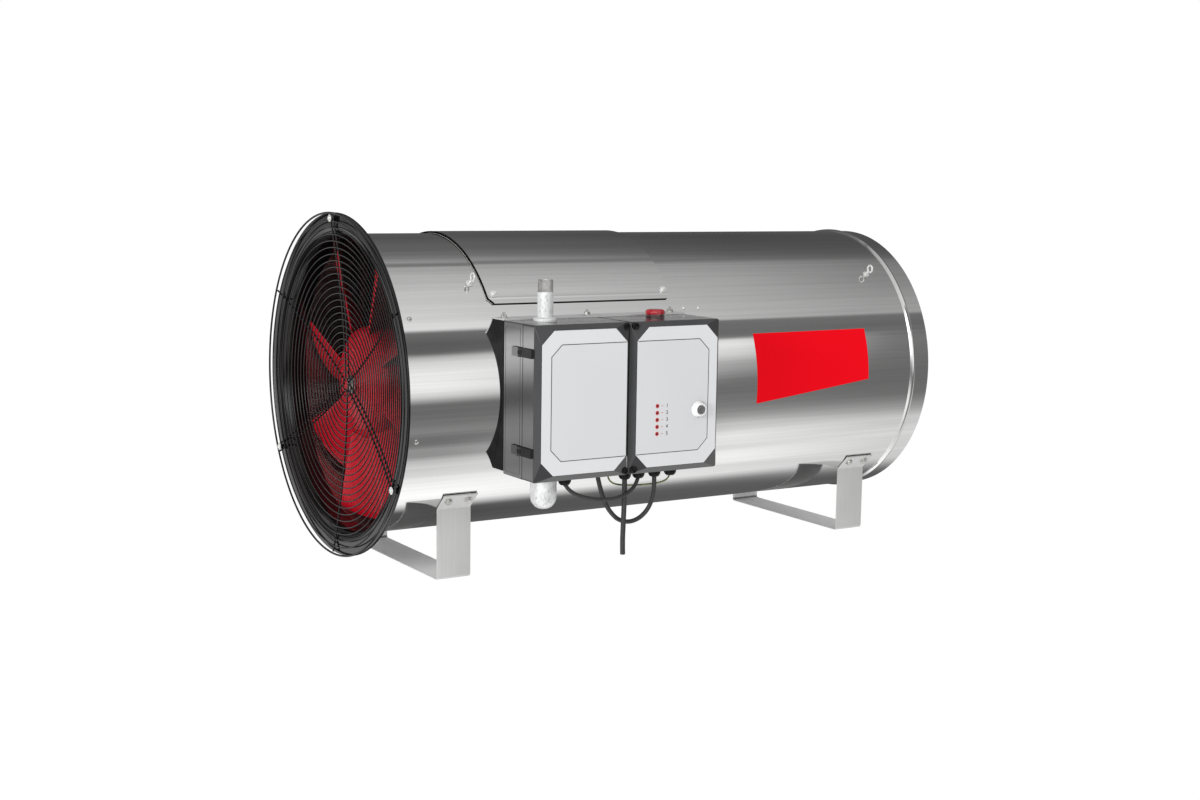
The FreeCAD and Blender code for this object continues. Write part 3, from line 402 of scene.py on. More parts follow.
def prism(poly, place, t0, t1):
    """Solid between two copies of a polygon; place(a, b, t) gives a point."""
    n = len(poly)
    verts = [place(a, b, t0) for a, b in poly] + [place(a, b, t1) for a, b in poly]
    faces = [list(range(n - 1, -1, -1)), list(range(n, 2 * n))]
    faces += [[i, (i + 1) % n, n + (i + 1) % n, n + i] for i in range(n)]
    return verts, faces


def slab(x0, x1, y0, y1, z0, z1):
    return prism([(x0, z0), (x1, z0), (x1, z1), (x0, z1)], lambda a, b, t: (a, t, b), y0, y1)


def eased(name, part, mats, ease, segs=3, angle=25.0, sharp=40.0, keep=None):
    """Object from a solid with eased edges; keep(edge centre) leaves an edge crisp."""
    me = bpy.data.meshes.new(name)
    me.from_pydata([W(*p) for p in part[0]], [], part[1])
    bm = bmesh.new()
    bm.from_mesh(me)
    bmesh.ops.recalc_face_normals(bm, faces=bm.faces)
    ease_edges(bm, ease, segs, angle, keep)
    bm.to_mesh(me)
    bm.free()
    return finish_mesh(name, me, mats if isinstance(mats, (list, tuple)) else [mats], sharp)


def ease_edges(bm, ease, segs, angle, keep=None):
    edges = []
    for e in bm.edges:
        if len(e.link_faces) == 2 and e.calc_face_angle() > deg(angle):
            c = (e.verts[0].co + e.verts[1].co) / 2 / MM - Vector((OX, OY, 0))
            if keep is None or not keep(c):
                edges.append(e)
    if edges:
        bmesh.ops.bevel(bm, geom=edges, offset=ease * MM, offset_type="OFFSET", segments=segs, profile=0.5, affect="EDGES", clamp_overlap=True)


def hull(name, pts, mats, ease, segs=3, angle=8.0, sharp=40.0, keep=None):
    me = bpy.data.meshes.new(name)
    bm = bmesh.new()
    vs = [bm.verts.new(W(*p)) for p in pts]
    got = bmesh.ops.convex_hull(bm, input=vs)
    bmesh.ops.delete(bm, geom=[g for g in set(got["geom_interior"]) | set(got["geom_unused"]) if isinstance(g, bmesh.types.BMVert)], context="VERTS")
    bmesh.ops.dissolve_limit(bm, angle_limit=deg(0.3), verts=bm.verts, edges=bm.edges)
    bmesh.ops.recalc_face_normals(bm, faces=bm.faces)
    if ease:
        ease_edges(bm, ease, segs, angle, keep)
    bm.to_mesh(me)
    bm.free()
    return finish_mesh(name, me, mats if isinstance(mats, (list, tuple)) else [mats], sharp)


def carve(o, cutters, sharp=32.0):
    """Takes the cutters' solids away from o and removes them."""
    for c in cutters:
        mod = o.modifiers.new("cut", "BOOLEAN")
        mod.object, mod.operation, mod.solver = c, "DIFFERENCE", "EXACT"
    bpy.context.view_layer.update()
    me = bpy.data.meshes.new_from_object(o.evaluated_get(bpy.context.evaluated_depsgraph_get()))
    o.modifiers.clear()
    old = o.data
    o.data = me
    bpy.data.meshes.remove(old)
    for c in cutters:
        d = c.data
        bpy.data.objects.remove(c)
        bpy.data.meshes.remove(d)
    bm = bmesh.new()
    bm.from_mesh(me)
    bmesh.ops.remove_doubles(bm, verts=bm.verts, dist=2e-6)
    bmesh.ops.dissolve_degenerate(bm, edges=bm.edges, dist=2e-6)
    bm.to_mesh(me)
    bm.free()
    for p in me.polygons:
        p.use_smooth = True
    me.set_sharp_from_angle(angle=deg(sharp))
    return o


def cutter(*parts):
    s = Shape()
    for p in parts:
        s.add(p)
    return build("cutter", s, [])


def bar(x, y, z, axis, r, length, n=40):
    return lathe([(0, 0), (0, r), (length, r), (length, 0)], n, (x, y, z), axis)


def refine(node, name, mats, ease, slot=None, body=ROOT, segs=2, angle=30.0, sharp=32.0):
    """A node's solid with its facets merged and its edges eased."""
    me = frame["nodes"][node].data.copy()
    me.name = name
    bm = bmesh.new()
    bm.from_mesh(me)
    bmesh.ops.remove_doubles(bm, verts=bm.verts, dist=1e-6)
    bmesh.ops.dissolve_limit(bm, angle_limit=deg(0.4), verts=bm.verts, edges=bm.edges)
    bmesh.ops.recalc_face_normals(bm, faces=bm.faces)
    if ease:
        ease_edges(bm, ease, segs, angle)
    bm.to_mesh(me)
    bm.free()
    o = finish_mesh(name, me, mats if isinstance(mats, (list, tuple)) else [mats], sharp)
    return settle(o, slot, node, body=body, even=True)


def out(a):
    """Outward direction on the casing at an angle from the top towards the boxes."""
    return Vector((0, -math.sin(deg(a)), math.cos(deg(a))))


def on_casing(x, a, r):
    e = out(a)
    return Vector((x, e.y * r, AZ + e.z * r))


def hex_head(p, axis, r, height, turn=0.0):
    """Hexagon head with a chamfered crown; r is the corner radius."""
    a, u, w = frame_of(axis)
    p = Vector(p)
    flat = r * math.cos(math.pi / 6)
    n = 48
    rows, verts, faces = [], [], []

    def hexr(g):
        k = (g - turn) % (math.pi / 3) - math.pi / 6
        return flat / math.cos(k)

    for t, cap in ((0.0, r * 2), (0.0, r * 2), (height * 0.72, None), (height, flat * 0.96), (height, flat * 0.55)):
        row = []
        for i in range(n):
            g = 2 * math.pi * i / n
            h = hexr(g)
            if cap is None:
                rr, tt = h, height - max(0.0, (h - flat) * 0.55) - 0.18 * height * 0.4
            else:
                rr, tt = min(h, cap), t
            row.append(len(verts))
            verts.append(p + a * tt + (u * math.cos(g) + w * math.sin(g)) * rr)
        rows.append(row)
    del rows[1]
    for q, s in zip(rows, rows[1:]):
        faces += [[q[i], q[(i + 1) % n], s[(i + 1) % n], s[i]] for i in range(n)]
    for row, t in ((rows[0], 0.0), (rows[-1], height)):
        c = len(verts)
        verts.append(p + a * t)
        faces += [[row[i], row[(i + 1) % n], c] if t == 0.0 else [row[(i + 1) % n], row[i], c] for i in range(n)]
    return verts, faces


def washer(p, axis, r, hole, t):
    return lathe(soften([(0, hole), (0, r), (t, r), (t, hole)], t * 0.3, 3), 48, p, axis, closed=True)


def dome(p, axis, r, height, n=32):
    prof = [(0, 0), (0, r), (height * 0.25, r)] + [(height * (0.25 + 0.75 * math.sin(deg(15 * k))), r * math.cos(deg(15 * k))) for k in range(1, 6)] + [(height, 0)]
    return lathe(prof, n, p, axis)


# ------------------------------------------------------------------ cables
def cable(name, node, radius, pts, mat, slot):
    cu = bpy.data.curves.new(name, "CURVE")
    cu.dimensions = "3D"
    sp = cu.splines.new("NURBS")
    sp.points.add(len(pts) - 1)
    for p, c in zip(sp.points, pts):
        p.co = (*W(*c), 1.0)
    sp.order_u = 3
    sp.use_endpoint_u = True
    sp.resolution_u = 14
    cu.bevel_depth = radius * MM
    cu.bevel_resolution = 7
    cu.use_fill_caps = True
    cu.materials.append(mat)
    o = bpy.data.objects.new(name, cu)
    scene.collection.objects.link(o)
    settle(o, slot, node)
    return o


cable("short_link_flex", "link_cable_short", 3.4,
      [(283.6, -315, 178.6), (289.4, -317, 169.2), (299, -320, 161.4), (312.4, -323.4, 155.2), (330.6, -326.6, 150.2), (351, -329, 147.2),
       (372, -329.6, 146.8), (390.7, -328.8, 149.4), (406.6, -325.9, 154.6), (418.6, -322.2, 161.2), (427.6, -318.4, 169.2), (433.2, -315, 178.6)],
      CABLE, "cable_black")
cable("long_link_flex", "link_cable_long", 4.0,
      [(348.2, -315, 191.9), (352, -314.4, 178), (357, -313, 163.5), (364, -311, 146.5), (373, -308.5, 130.5), (385, -306, 115.8), (401, -303.5, 102.4),
       (424, -301.5, 95.6), (446.5, -302, 101.2), (463, -305, 118), (468.6, -309.5, 140), (468.4, -313.5, 160), (466.5, -315, 179)], CABLE, "cable_black")
cable("mains_flex", "mains_lead", 4.5,
      [(404.9, -315, 179.5), (404.5, -315.9, 152), (402.6, -318.2, 122), (401, -319, 92), (401.2, -317.5, 66), (402.3, -317, 44)],
      CABLE, "cable_black")
cable("earth_flex", "earth_wire", 1.5,
      [(384, -292, 188.5), (384.5, -292, 176.5), (394, -291.5, 166.5), (412, -291, 161.5), (434, -291.5, 159.5), (457, -294, 159), (476, -300, 160.5),
       (490.5, -307.5, 164), (497.9, -313, 170.5), (499.8, -315, 178.5)], EARTH, "earth_green")

# ------------------------------------------------------------------ casing
R, T = 265.0, 1.5
angles = [-47 + 94 * i / 132 for i in range(132)] + [47 + 266 * i / 372 for i in range(372)]
stations = [(8.8, 0.0), (34.0, 0.0), (110.0, 0.0), (205.0, 0.0), (320.0, 0.0), (430.0, 0.0), (543.0, 0.0), (680.0, 0.0), (820.0, 0.0), (960.0, 0.0), (1060.0, 0.0), (1098.0, 0.0)]
stations += [(1108 + 6.6 * u / 14, 3.7 * math.cos(math.pi * u / 28) ** 0.9) for u in range(-14, 15)]
stations += [(1118.5, 0.0), (1140.0, 0.0), (1149.0, 0.0)]
casing = Shape()
n = len(angles)
skins = []
for r in (R, R - T):
    skins.append(len(casing.v))
    casing.v += [tuple(on_casing(x, a, r + d)) for x, d in stations for a in angles]


def cell(skin, i, j):
    return skins[skin] + i * n + j % n


def open_cell(i, j):
    return 204.9 < stations[i][0] and stations[i + 1][0] < 543.1 and j % n < 132


for i in range(len(stations) - 1):
    for j in range(n):
        if open_cell(i, j):
            continue
        casing.f.append([cell(0, i, j), cell(0, i, j + 1), cell(0, i + 1, j + 1), cell(0, i + 1, j)])
        casing.m.append(0)
        casing.f.append([cell(1, i, j), cell(1, i + 1, j), cell(1, i + 1, j + 1), cell(1, i, j + 1)])
        casing.m.append(1)
        for i2, j2, e in ((i - 1, j, ((i, j), (i, j + 1))), (i + 1, j, ((i + 1, j), (i + 1, j + 1))), (i, j - 1, ((i, j), (i + 1, j))), (i, j + 1, ((i, j + 1), (i + 1, j + 1)))):
            if not 0 <= i2 < len(stations) - 1 or open_cell(i2, j2):
                casing.f.append([cell(0, *e[0]), cell(0, *e[1]), cell(1, *e[1]), cell(1, *e[0])])
                casing.m.append(0)
settle(build("casing_shell", casing, [STEEL, INNER], 40.0), "polished_stainless", "casing_tube")

# hatch: a rolled cover with two flanged long edges and clipped corners, on a rubber edge seal
CREASE, KINK, LIP, HR = 52.7, 1.0, 10.7, 268.7
hatch = Shape()
line = []
for s, t in [(1.0, LIP * (1 - k / 4)) for k in range(4)]:
    line.append((-1, t))
sweep_a = [CREASE * k / 80 for k in range(80)] + [CREASE - 0.7, CREASE - 0.35, CREASE]
sweep_a = sorted(set(a for a in sweep_a if a < CREASE - 0.75 or a > CREASE - 0.71))
for v in [-a for a in reversed(sweep_a)] + sweep_a[1:]:
    line.append((0, v))
for k in range(1, 5):
    line.append((1, LIP * k / 4))


def hatch_point(kind, v, depth):
    """Point on the cover's section, depth below its outer face, and how far along the flange it is."""
    if kind == 0:
        e = out(v)
        ridge = 0.5 * max(0.0, 1 - (CREASE - abs(v)) / 0.7)
        return e * (HR + ridge - depth), 0.0
    a = CREASE * kind
    e = out(a)
    tang = Vector((0, -math.cos(deg(a)), -math.sin(deg(a)))) * kind
    d = tang * math.cos(deg(KINK)) + e * math.sin(deg(KINK))
    nrm = e * math.cos(deg(KINK)) - tang * math.sin(deg(KINK))
    ridge = 0.5 * max(0.0, 1 - v / 2.7)
    return e * HR + d * v + nrm * (ridge - depth), v / LIP


hatch_x = [0.0, 0.004, 0.03, 0.25, 0.5, 0.75, 0.97, 0.996, 1.0]
for depth in (0.0, 1.2):
    for kind, v in line:
        p, f = hatch_point(kind, v, depth)
        x0, x1 = 188.0 + 9.0 * f, 560.0 - 9.0 * f
        hatch.v += [(x0 + (x1 - x0) * u, p.y, AZ + p.z) for u in hatch_x]
nx, nl = len(hatch_x), len(line)
for i in range(nl - 1):
    for j in range(nx - 1):
        q = [i * nx + j, i * nx + j + 1, (i + 1) * nx + j + 1, (i + 1) * nx + j]
        hatch.f += [q, [k + nl * nx for k in reversed(q)]]
        hatch.m += [0, 0]
rim = [i * nx for i in range(nl)] + [(nl - 1) * nx + j for j in range(1, nx)] + [i * nx + nx - 1 for i in range(nl - 2, -1, -1)] + [j for j in range(nx - 2, 0, -1)]
for a, b in zip(rim, rim[1:] + rim[:1]):
    hatch.f.append([a, b, b + nl * nx, a + nl * nx])
    hatch.m.append(0)
# black edge trim all round the cover, down to the casing
trim = []
for xa, xb, sgn in ((188.0, 9.0, -1), (560.0, -9.0, 1)):
    rows = []
    for kind, v in line:
        p, f = hatch_point(kind, v, 0.0)
        rr = p.length
        e = p / rr
        row = []
        seal = ((0.5, 265.08), (0.5, rr - 0.3), (0.2, rr + 0.1), (-0.5, rr + 0.1), (-0.6, rr - 0.2), (-0.6, 265.08))
        if sgn > 0:
            seal = ((0.3, 265.05), (0.3, rr - 1.25), (-0.4, rr - 1.25), (-0.4, 265.05))
        for dx, r in seal:
            q = e * r
            row.append((xa + xb * f + sgn * dx, q.y, AZ + q.z))
        rows.append(row)
    trim.append(rows)
# thin bright hem in front of the seal on the inlet side: a bright strip as a painted highlight line along the seal
rows = []
for kind, v in line:
    p, f = hatch_point(kind, v, 0.0)
    e = p.normalized()
    rows.append([(188.0 + 9.0 * f - dx, (e * r).y, AZ + (e * r).z) for dx, r in ((2.1, 265.03), (2.1, 265.18), (1.9, 265.3), (1.4, 265.3), (1.2, 265.03))])
highlight_hems = [rows]
for kind in (1, -1):
    rows = []
    for u in range(13):
        x = 197.0 + 354.0 * u / 12
        a0, a1 = hatch_point(kind, LIP - 1.4, 1.22)[0], hatch_point(kind, LIP - 0.1, 1.22)[0]
        rows.append([(x, p.y, AZ + p.z) for p in (a0, a1, a1.normalized() * 265.05, a0.normalized() * 265.05)])
    trim.append(rows)
for rows in trim + highlight_hems:
    base = []
    for row in rows:
        base.append(list(range(len(hatch.v), len(hatch.v) + len(row))))
        hatch.v += row
    w = len(rows[0])
    for a, b in zip(base, base[1:]):
        hatch.f += [[a[k], a[(k + 1) % w], b[(k + 1) % w], b[k]] for k in range(w)]
        hatch.m += [2 if rows in highlight_hems else 1] * w
    hatch.f += [base[0], base[-1]]
    hatch.m += [2 if rows in highlight_hems else 1] * 2
settle(build("hatch_sheet", hatch, [STEEL, RUBBER, BRIGHT], 4.0), "polished_stainless", "hatch_cover")

screws = Shape()
for x in (201.0, 548.0):
    for a in (51.0, -51.0):
        e = out(a)
        screws.add(washer(on_casing(x, a, 268.85), e, 6.4, 2.0, 0.9))
        screws.add(hex_head(on_casing(x, a, 269.7), e, 4.8, 3.4, 0.3 + x * 0.01))
        screws.add(bar(*on_casing(x, a, 273.0), e, 2.2, 2.0, 24))
for x in (582.0, 614.0):
    e = out(59.3)
    screws.add(dome(on_casing(x, 59.3, 265.1), e, 3.4, 2.6))
settle(build("casing_screw_set", screws, BRIGHT), "zinc_fastener", "casing_screws")

eyes = Shape()
for x in (166.0, 1045.5):
    for a in (45.2, -45.2):
        e = out(a)
        eyes.add(washer(on_casing(x, a, 265.1), e, 6.6, 1.8, 1.1))
        eyes.add(hex_head(on_casing(x, a, 266.1), e, 5.2, 3.4, 0.2))
        prof = [(0, 0)] + [(0.35 * k, 2.25 if k % 2 else 1.95) for k in range(1, 14)] + [(5.6, 2.0), (6.2, 0)]
        eyes.add(lathe(prof, 24, on_casing(x, a, 269.0), e))
        eyes.add(torus(6.6, 2.0, 48, 16, on_casing(x, a, 281.0), (1, 0, 0)))
settle(build("hanging_eye_set", eyes, BRIGHT), "zinc_fastener", "hanging_eyes")

rivets = Shape()
for k in range(8):
    a = 59.8 + 45 * k
    rivets.add(dome(on_casing(34.0, a, 265.1), out(a), 4.2, 1.7))
settle(build("inlet_rivet_set", rivets, ZINC), "zinc_fastener", "inlet_rivets")

# ------------------------------------------------------------------ feet
tilt = deg(46.0)
ct, st = math.cos(tilt), math.sin(tilt)
mid_r, half, tab = 265.05 + 1.25, 175.6 - 1.25, 24.2
knee_z = AZ - (mid_r - half * ct) / st
end = (mid_r * ct + tab * st, AZ - mid_r * st + tab * ct)
path = [(-end[0], end[1]), (-half, knee_z, 6.0), (-half, 1.25, 5.0), (half, 1.25, 5.0), (half, knee_z, 6.0), end]
path = soften(path, 6.0, 8, closed=False)
left, right = [], []
for i, p in enumerate(path):
    a, b = Vector(path[max(i - 1, 0)]), Vector(path[min(i + 1, len(path) - 1)])
    d = (b - a).normalized()
    nn = Vector((-d.y, d.x)) * 1.25
    left.append((p[0] + nn.x, p[1] + nn.y))
    right.append((p[0] - nn.x, p[1] - nn.y))
strip = left + right[::-1]
bolts = Shape()
for name, node, fx in (("inlet_foot_strip", "inlet_foot", 144.2), ("outlet_foot_strip", "outlet_foot", 1033.8)):
    s = Shape()
    m = len(path)
    xs = [-32.5, -32.1, -31.5, 31.5, 32.1, 32.5]
    inset = [0.7, 0.2, 0.0, 0.0, 0.2, 0.7]
    for dx, g in zip(xs, inset):
        for (a, b) in zip(left, right):
            c = ((a[0] + b[0]) / 2, (a[1] + b[1]) / 2)
            k = 1 - g / 2.0
            s.v.append((fx + dx, c[0] + (a[0] - c[0]) * k, c[1] + (a[1] - c[1]) * k))
        for (a, b) in zip(left, right):
            c = ((a[0] + b[0]) / 2, (a[1] + b[1]) / 2)
            k = 1 - g / 2.0
            s.v.append((fx + dx, c[0] + (b[0] - c[0]) * k, c[1] + (b[1] - c[1]) * k))
    for q in range(len(xs) - 1):
        for i in range(m - 1):
            for off in (0, m):
                s.f.append([q * 2 * m + off + i, q * 2 * m + off + i + 1, (q + 1) * 2 * m + off + i + 1, (q + 1) * 2 * m + off + i])
                # outer faces take the plain satin; inner faces take painted shade on the tabs, a lighter painted-light
                # copy on the uprights and painted shade with sheen on the strip top
                s.m.append(0 if off else 1 if min(path[i][1], path[i + 1][1]) > 9.0 else 3 if max(path[i][1], path[i + 1][1]) > 9.0 else 2)
        for i in (0, m - 1):
            s.f.append([q * 2 * m + i, (q + 1) * 2 * m + i, (q + 1) * 2 * m + m + i, q * 2 * m + m + i])
            s.m.append(0)
    for q in (0, len(xs) - 1):
        for i in range(m - 1):
            s.f.append([q * 2 * m + i, q * 2 * m + i + 1, q * 2 * m + m + i + 1, q * 2 * m + m + i])
            s.m.append(0)
    settle(build(name, s, [SATIN, SHADE, STRIP_TOP_SHADE, UPRIGHT_LIT], 38.0), "satin_stainless", node)
    for side in (1, -1):
        nv = Vector((0, -side * ct, -st))
        tv = Vector((0, -side * st, ct))
        for dx in (-19.0, 19.0):
            p = nv * 267.6 + tv * 9.0 + Vector((fx + dx, 0, AZ))
            bolts.add(washer(p, nv, 7.4, 2.5, 1.3))
            bolts.add(hex_head(p + nv * 1.2, nv, 6.0, 3.9, 0.4 + dx * 0.01))
settle(build("foot_bolt_set", bolts, ZINC), "zinc_fastener", "foot_bolts")

# ------------------------------------------------------------------ inlet ring and guard
arc = [deg(90 * k / 20.0) for k in range(21)]
RF = -1.2
front = [(RF + 24 * (1 - math.cos(t)), 256 + 24 * (1 - math.sin(t))) for t in arc]
back = [(RF + 24 - 22 * math.cos(t), 280 - 22 * math.sin(t)) for t in arc]
rim_front = soften([(2.0, 301.9), (RF, 301.9), (RF, 280.0)], 1.4, 6, closed=False)[:-1]
rim_back = soften([(RF + 2, 280.0), (RF + 2, 299.9), (2.0, 299.9)], 0.6, 4, closed=False)[1:]
ring = rim_front + front + [(46, 256), (46, 263.3), (24, 263.3), (24, 261.8), (44, 261.8), (44, 258)] + back[::-1] + rim_back
settle(build("inlet_ring_skin", Shape().add(lathe(ring, 360, closed=True)), BLACK, 40.0), "black_gloss", "inlet_ring")

GF, GD, GR = -10.5, 29.0, 301.2


def dish(r):
    return GF + GD * (1 - r * r / (GR * GR))


rings = Shape()
for k in range(1, 26):
    r = 11.48 * k
    rings.add(torus(r, 1.2, max(56, int(r * 0.95)), 10, (dish(r), 0, AZ)))
rings.add(torus(GR - 0.05, 1.8, 320, 14, (GF + 1.5, 0, AZ)))
settle(build("guard_ring_wires", rings, WIRE, 60.0), "guard_black", "guard_rings")
spokes = Shape()
for a in (0.0, 120.0, 240.0):
    for ang, off in ((a, 6.5), (a, -6.5), (a + 60.0, 0.0)):
        t = deg(ang)
        pts = []
        for k in range(25):
            r = 9.5 + (299.0 - 9.5) * k / 24
            rr = math.hypot(r, off)
            slope = 2 * GD * rr / (GR * GR)
            x = dish(rr) + 2.92 / math.sqrt(1 + slope * slope)
            pts.append((x, off * math.cos(t) + r * math.sin(t), AZ - off * math.sin(t) + r * math.cos(t)))
        spokes.add(sweep(pts, 1.6, 12))
    t = deg(a)

    def at(x, tang, r, t=t):
        return (x, tang * math.cos(t) + r * math.sin(t), AZ - tang * math.sin(t) + r * math.cos(t))

    poly = soften([(-3.8, 288.5), (3.8, 288.5), (3.8, 295.5), (-3.8, 295.5)], 1.4, 3)
    spokes.add(prism(poly, lambda p, q, x: at(x, p, q), -9.1, -1.3))
settle(build("guard_spoke_wires", spokes, WIRE, 50.0), "guard_black", "guard_spokes")


def cross_screw(name, spots, axis, r, height, mats):
    """Pan heads with a cross recess."""
    s, k = Shape(), Shape()
    a, u, w = frame_of(axis)
    for p in spots:
        p = Vector(p)
        s.add(lathe([(0, 0), (0, r), (height * 0.35, r), (height * 0.62, r * 0.93), (height * 0.86, r * 0.72), (height, r * 0.35), (height, 0)], 40, p, axis))
        for e, f in ((u, w), (w, u)):
            corners = []
            for t in (height * 0.45, height * 1.4):
                for i, j in ((-1, -1), (1, -1), (1, 1), (-1, 1)):
                    corners.append(p + a * t + e * (i * r * 0.56) + f * (j * r * 0.13))
            k.add((corners, [[3, 2, 1, 0], [4, 5, 6, 7], [0, 1, 5, 4], [1, 2, 6, 5], [2, 3, 7, 6], [3, 0, 4, 7]]))
    half = Shape(), Shape()
    for i in range(len(spots)):
        for b in range(2):
            base = (i * 2 + b) * 8
            half[b].add((k.v[base:base + 8], [[3, 2, 1, 0], [4, 5, 6, 7], [0, 1, 5, 4], [1, 2, 6, 5], [2, 3, 7, 6], [3, 0, 4, 7]]))
    o = build(name, s, mats)
    return carve(o, [build("cutter", half[0], []), build("cutter", half[1], [])])


spots, disc = [], Shape()
for a in (0.0, 120.0, 240.0):
    t = deg(a)
    spots.append((-10.5, 292.0 * math.sin(t), AZ + 292.0 * math.cos(t)))
    disc.add(washer((-9.2, spots[-1][1], spots[-1][2]), (-1, 0, 0), 6.5, 2.4, 1.4))
settle(cross_screw("guard_screw_set", spots, (-1, 0, 0), 3.9, 2.9, BRIGHT), "zinc_fastener", "guard_screws")
settle(build("guard_washer_set", disc, BRIGHT), "zinc_fastener")

# ------------------------------------------------------------------ fan
TABLE_R = (55.0, 105.0, 180.0, 262.0)
TABLE_V = {"chord": (84.0, 96.0, 116.0, 130.0), "pitch": (52.0, 44.0, 32.0, 24.0), "thick": (6.5, 6.0, 5.0, 4.0), "camber": (5.0, 6.0, 7.0, 7.0)}


def spread(key, r):
    """Lagrange line through the four section values."""
    total = 0.0
    for i, xi in enumerate(TABLE_R):
        term = TABLE_V[key][i]
        for j, xj in enumerate(TABLE_R):
            if j != i:
                term *= (r - xj) / (xi - xj)
        total += term
    return total


def blade_point(s, z):
    """Middle surface at chord share s and span z, before turning: x, y and the surface normal in the section."""
    c, b = spread("chord", z), deg(spread("pitch", z))
    d, nn = Vector((math.sin(b), math.cos(b))), Vector((-math.cos(b), math.sin(b)))
    h = spread("camber", z) * 4 * s * (1 - s)
    p = Vector((46.0, 0.0)) + d * (c * s) + nn * h
    slope = spread("camber", z) * 4 * (1 - 2 * s) / c
    m = (nn - d * slope).normalized()
    return p, m


def span_at(s, radius):
    z = radius
    for _ in range(12):
        p, _m = blade_point(s, z)
        z = math.sqrt(max(1.0, radius * radius - p.y * p.y))
    return z


rotor = Shape()
NS, NZ = 28, 22
chord = [0.5 - 0.5 * math.cos(math.pi * i / NS) for i in range(NS + 1)]
for k in range(8):
    ph = deg(23.0 + 45 * k)

    def turned(x, y, z):
        return (x, y * math.cos(ph) + z * math.sin(ph), AZ - y * math.sin(ph) + z * math.cos(ph))

    rows = []
    verts = []
    for j in range(NZ + 1):
        w = j / NZ
        row = []
        for side in (1, -1):
            order = range(NS + 1) if side == 1 else range(NS - 1, 0, -1)
            for i in order:
                s = chord[i]
                z0, z1 = span_at(s, 97.0), span_at(s, 249.6)
                z = z0 + (z1 - z0) * w
                p, m = blade_point(s, z)
                edge = math.sqrt(max(0.0, 1 - (2 * s - 1) ** 6))
                tip = math.sqrt(max(0.0, 1 - max(0.0, (w - 0.97) / 0.03) ** 2 * 0.85))
                q = p + m * (side * 0.5 * spread("thick", z) * edge * tip)
                row.append(len(verts))
                verts.append(turned(q.x, q.y, z))
        rows.append(row)
    L = len(rows[0])
    faces = []
    for a, b in zip(rows, rows[1:]):
        faces += [[a[i], a[(i + 1) % L], b[(i + 1) % L], b[i]] for i in range(L)]
    for row, flip in ((rows[0], True), (rows[-1], False)):
        for i in range(NS):
            a, b = row[i], row[i + 1]
            c, d = row[(L - i - 1) % L], row[(L - i) % L]
            f = [x for x in (a, b, c, d)]
            f = list(dict.fromkeys(f))
            if len(f) >= 3:
                faces.append(f)
    rotor.add((verts, faces))
hub = soften([(33, 12.0), (33, 40, 3), (35.5, 62, 30), (41, 82, 14), (48, 94, 10), (58, 100, 12), (120, 100, 1.5), (120, 95, 1.5), (62, 95, 8), (52, 86, 8), (46, 62, 10), (43, 30, 2), (46, 27, 2), (96, 27, 1.5), (96, 12.0)], 0.6, 5)
rotor.add(lathe(hub, 128, closed=True))
settle(build("fan_wheel", rotor, RED, 45.0), "fan_red", "fan_rotor", body="fan")
nut = Shape().add(hex_head((32.8, 0, AZ), (-1, 0, 0), 17.0, 5.3, 0.2))
nut.add(lathe([(30.2, 0), (30.2, 11.95), (203, 11.95), (203, 0)], 48, (0, 0, AZ)))
settle(build("motor_spindle", nut, SHAFT), "shaft_steel", "motor_shaft", body="fan")

# ------------------------------------------------------------------ drive and burner
motor = soften([(140, 12.0), (140, 40, 4), (144, 58, 6), (150, 70, 4), (300, 70, 1.5), (300, 64, 1.5), (318, 60, 4), (322, 52, 3), (322, 0)], 0.0, 5, closed=False)
m_shape = Shape().add(lathe(motor, 96, (0, 0, AZ)))
for k in range(36):
    if k % 9 in (0, 1, 8):
        continue
    g = deg(10 * k)
    e, f = Vector((0, math.sin(g), math.cos(g))), Vector((0, math.cos(g), -math.sin(g)))
    c = []
    for x in (262.0, 296.0):
        for r, w in ((68.0, -1.6), (68.0, 1.6), (75.0, 0.9), (75.0, -0.9)):
            q = e * r + f * w
            c.append((x, q.y, AZ + q.z))
    m_shape.add((c, [[3, 2, 1, 0], [4, 5, 6, 7], [0, 1, 5, 4], [1, 2, 6, 5], [2, 3, 7, 6], [3, 0, 4, 7]]))
settle(build("motor_case", m_shape, MOTOR), "motor_grey", "motor_body")
refine("motor_mount", "motor_cradle", GALV, 0.6, "galvanised")
flame = soften([(430, 163.5), (430, 165), (1010, 165, 12), (1022, 174), (1022, 172.2), (1010, 163.5, 12)], 0.3, 4)
settle(build("flame_tube_skin", Shape().add(lathe(flame, 240, closed=True)), HOT, 40.0), "burner_steel", "flame_tube")
refine("flame_tube_brackets", "flame_tube_straps", INNER, 0.4, "satin_stainless")
refine("swirl_plate", "swirl_disc", HOT, 0.3, "burner_steel")
refine("burner_cone", "burner_bowl", HOT, 0.4, "burner_steel")
refine("gas_nozzle", "gas_jet", BRASS, 0.5, "brass")
refine("ignition_electrode", "spark_rod", CERAMIC, 0.3, "ceramic")
refine("flame_sensor_rod", "sensor_rod", CERAMIC, 0.3, "ceramic")
refine("burner_feed_pipe", "feed_pipe_skin", GALV, 0.3, "galvanised")
refine("overheat_thermostat", "thermostat_case", STAT, 1.5, "thermostat_black", segs=3)

# ------------------------------------------------------------------ saddle and boxes
B0, BW, BZ, TOP, SZ = 188.0, 183.5, 196.7, 456.8, 201.6
saddle = refine("box_saddle", "saddle_sheet", [SADDLE, SATIN], 0.7, "black_gloss", segs=3)
bm = bmesh.new()
bm.from_mesh(saddle.data)
bmesh.ops.bisect_plane(bm, geom=bm.verts[:] + bm.edges[:] + bm.faces[:], dist=1e-6, plane_co=(0, 0, (TOP + 0.05) * MM), plane_no=(0, 0, 1))
bm.to_mesh(saddle.data)
bm.free()
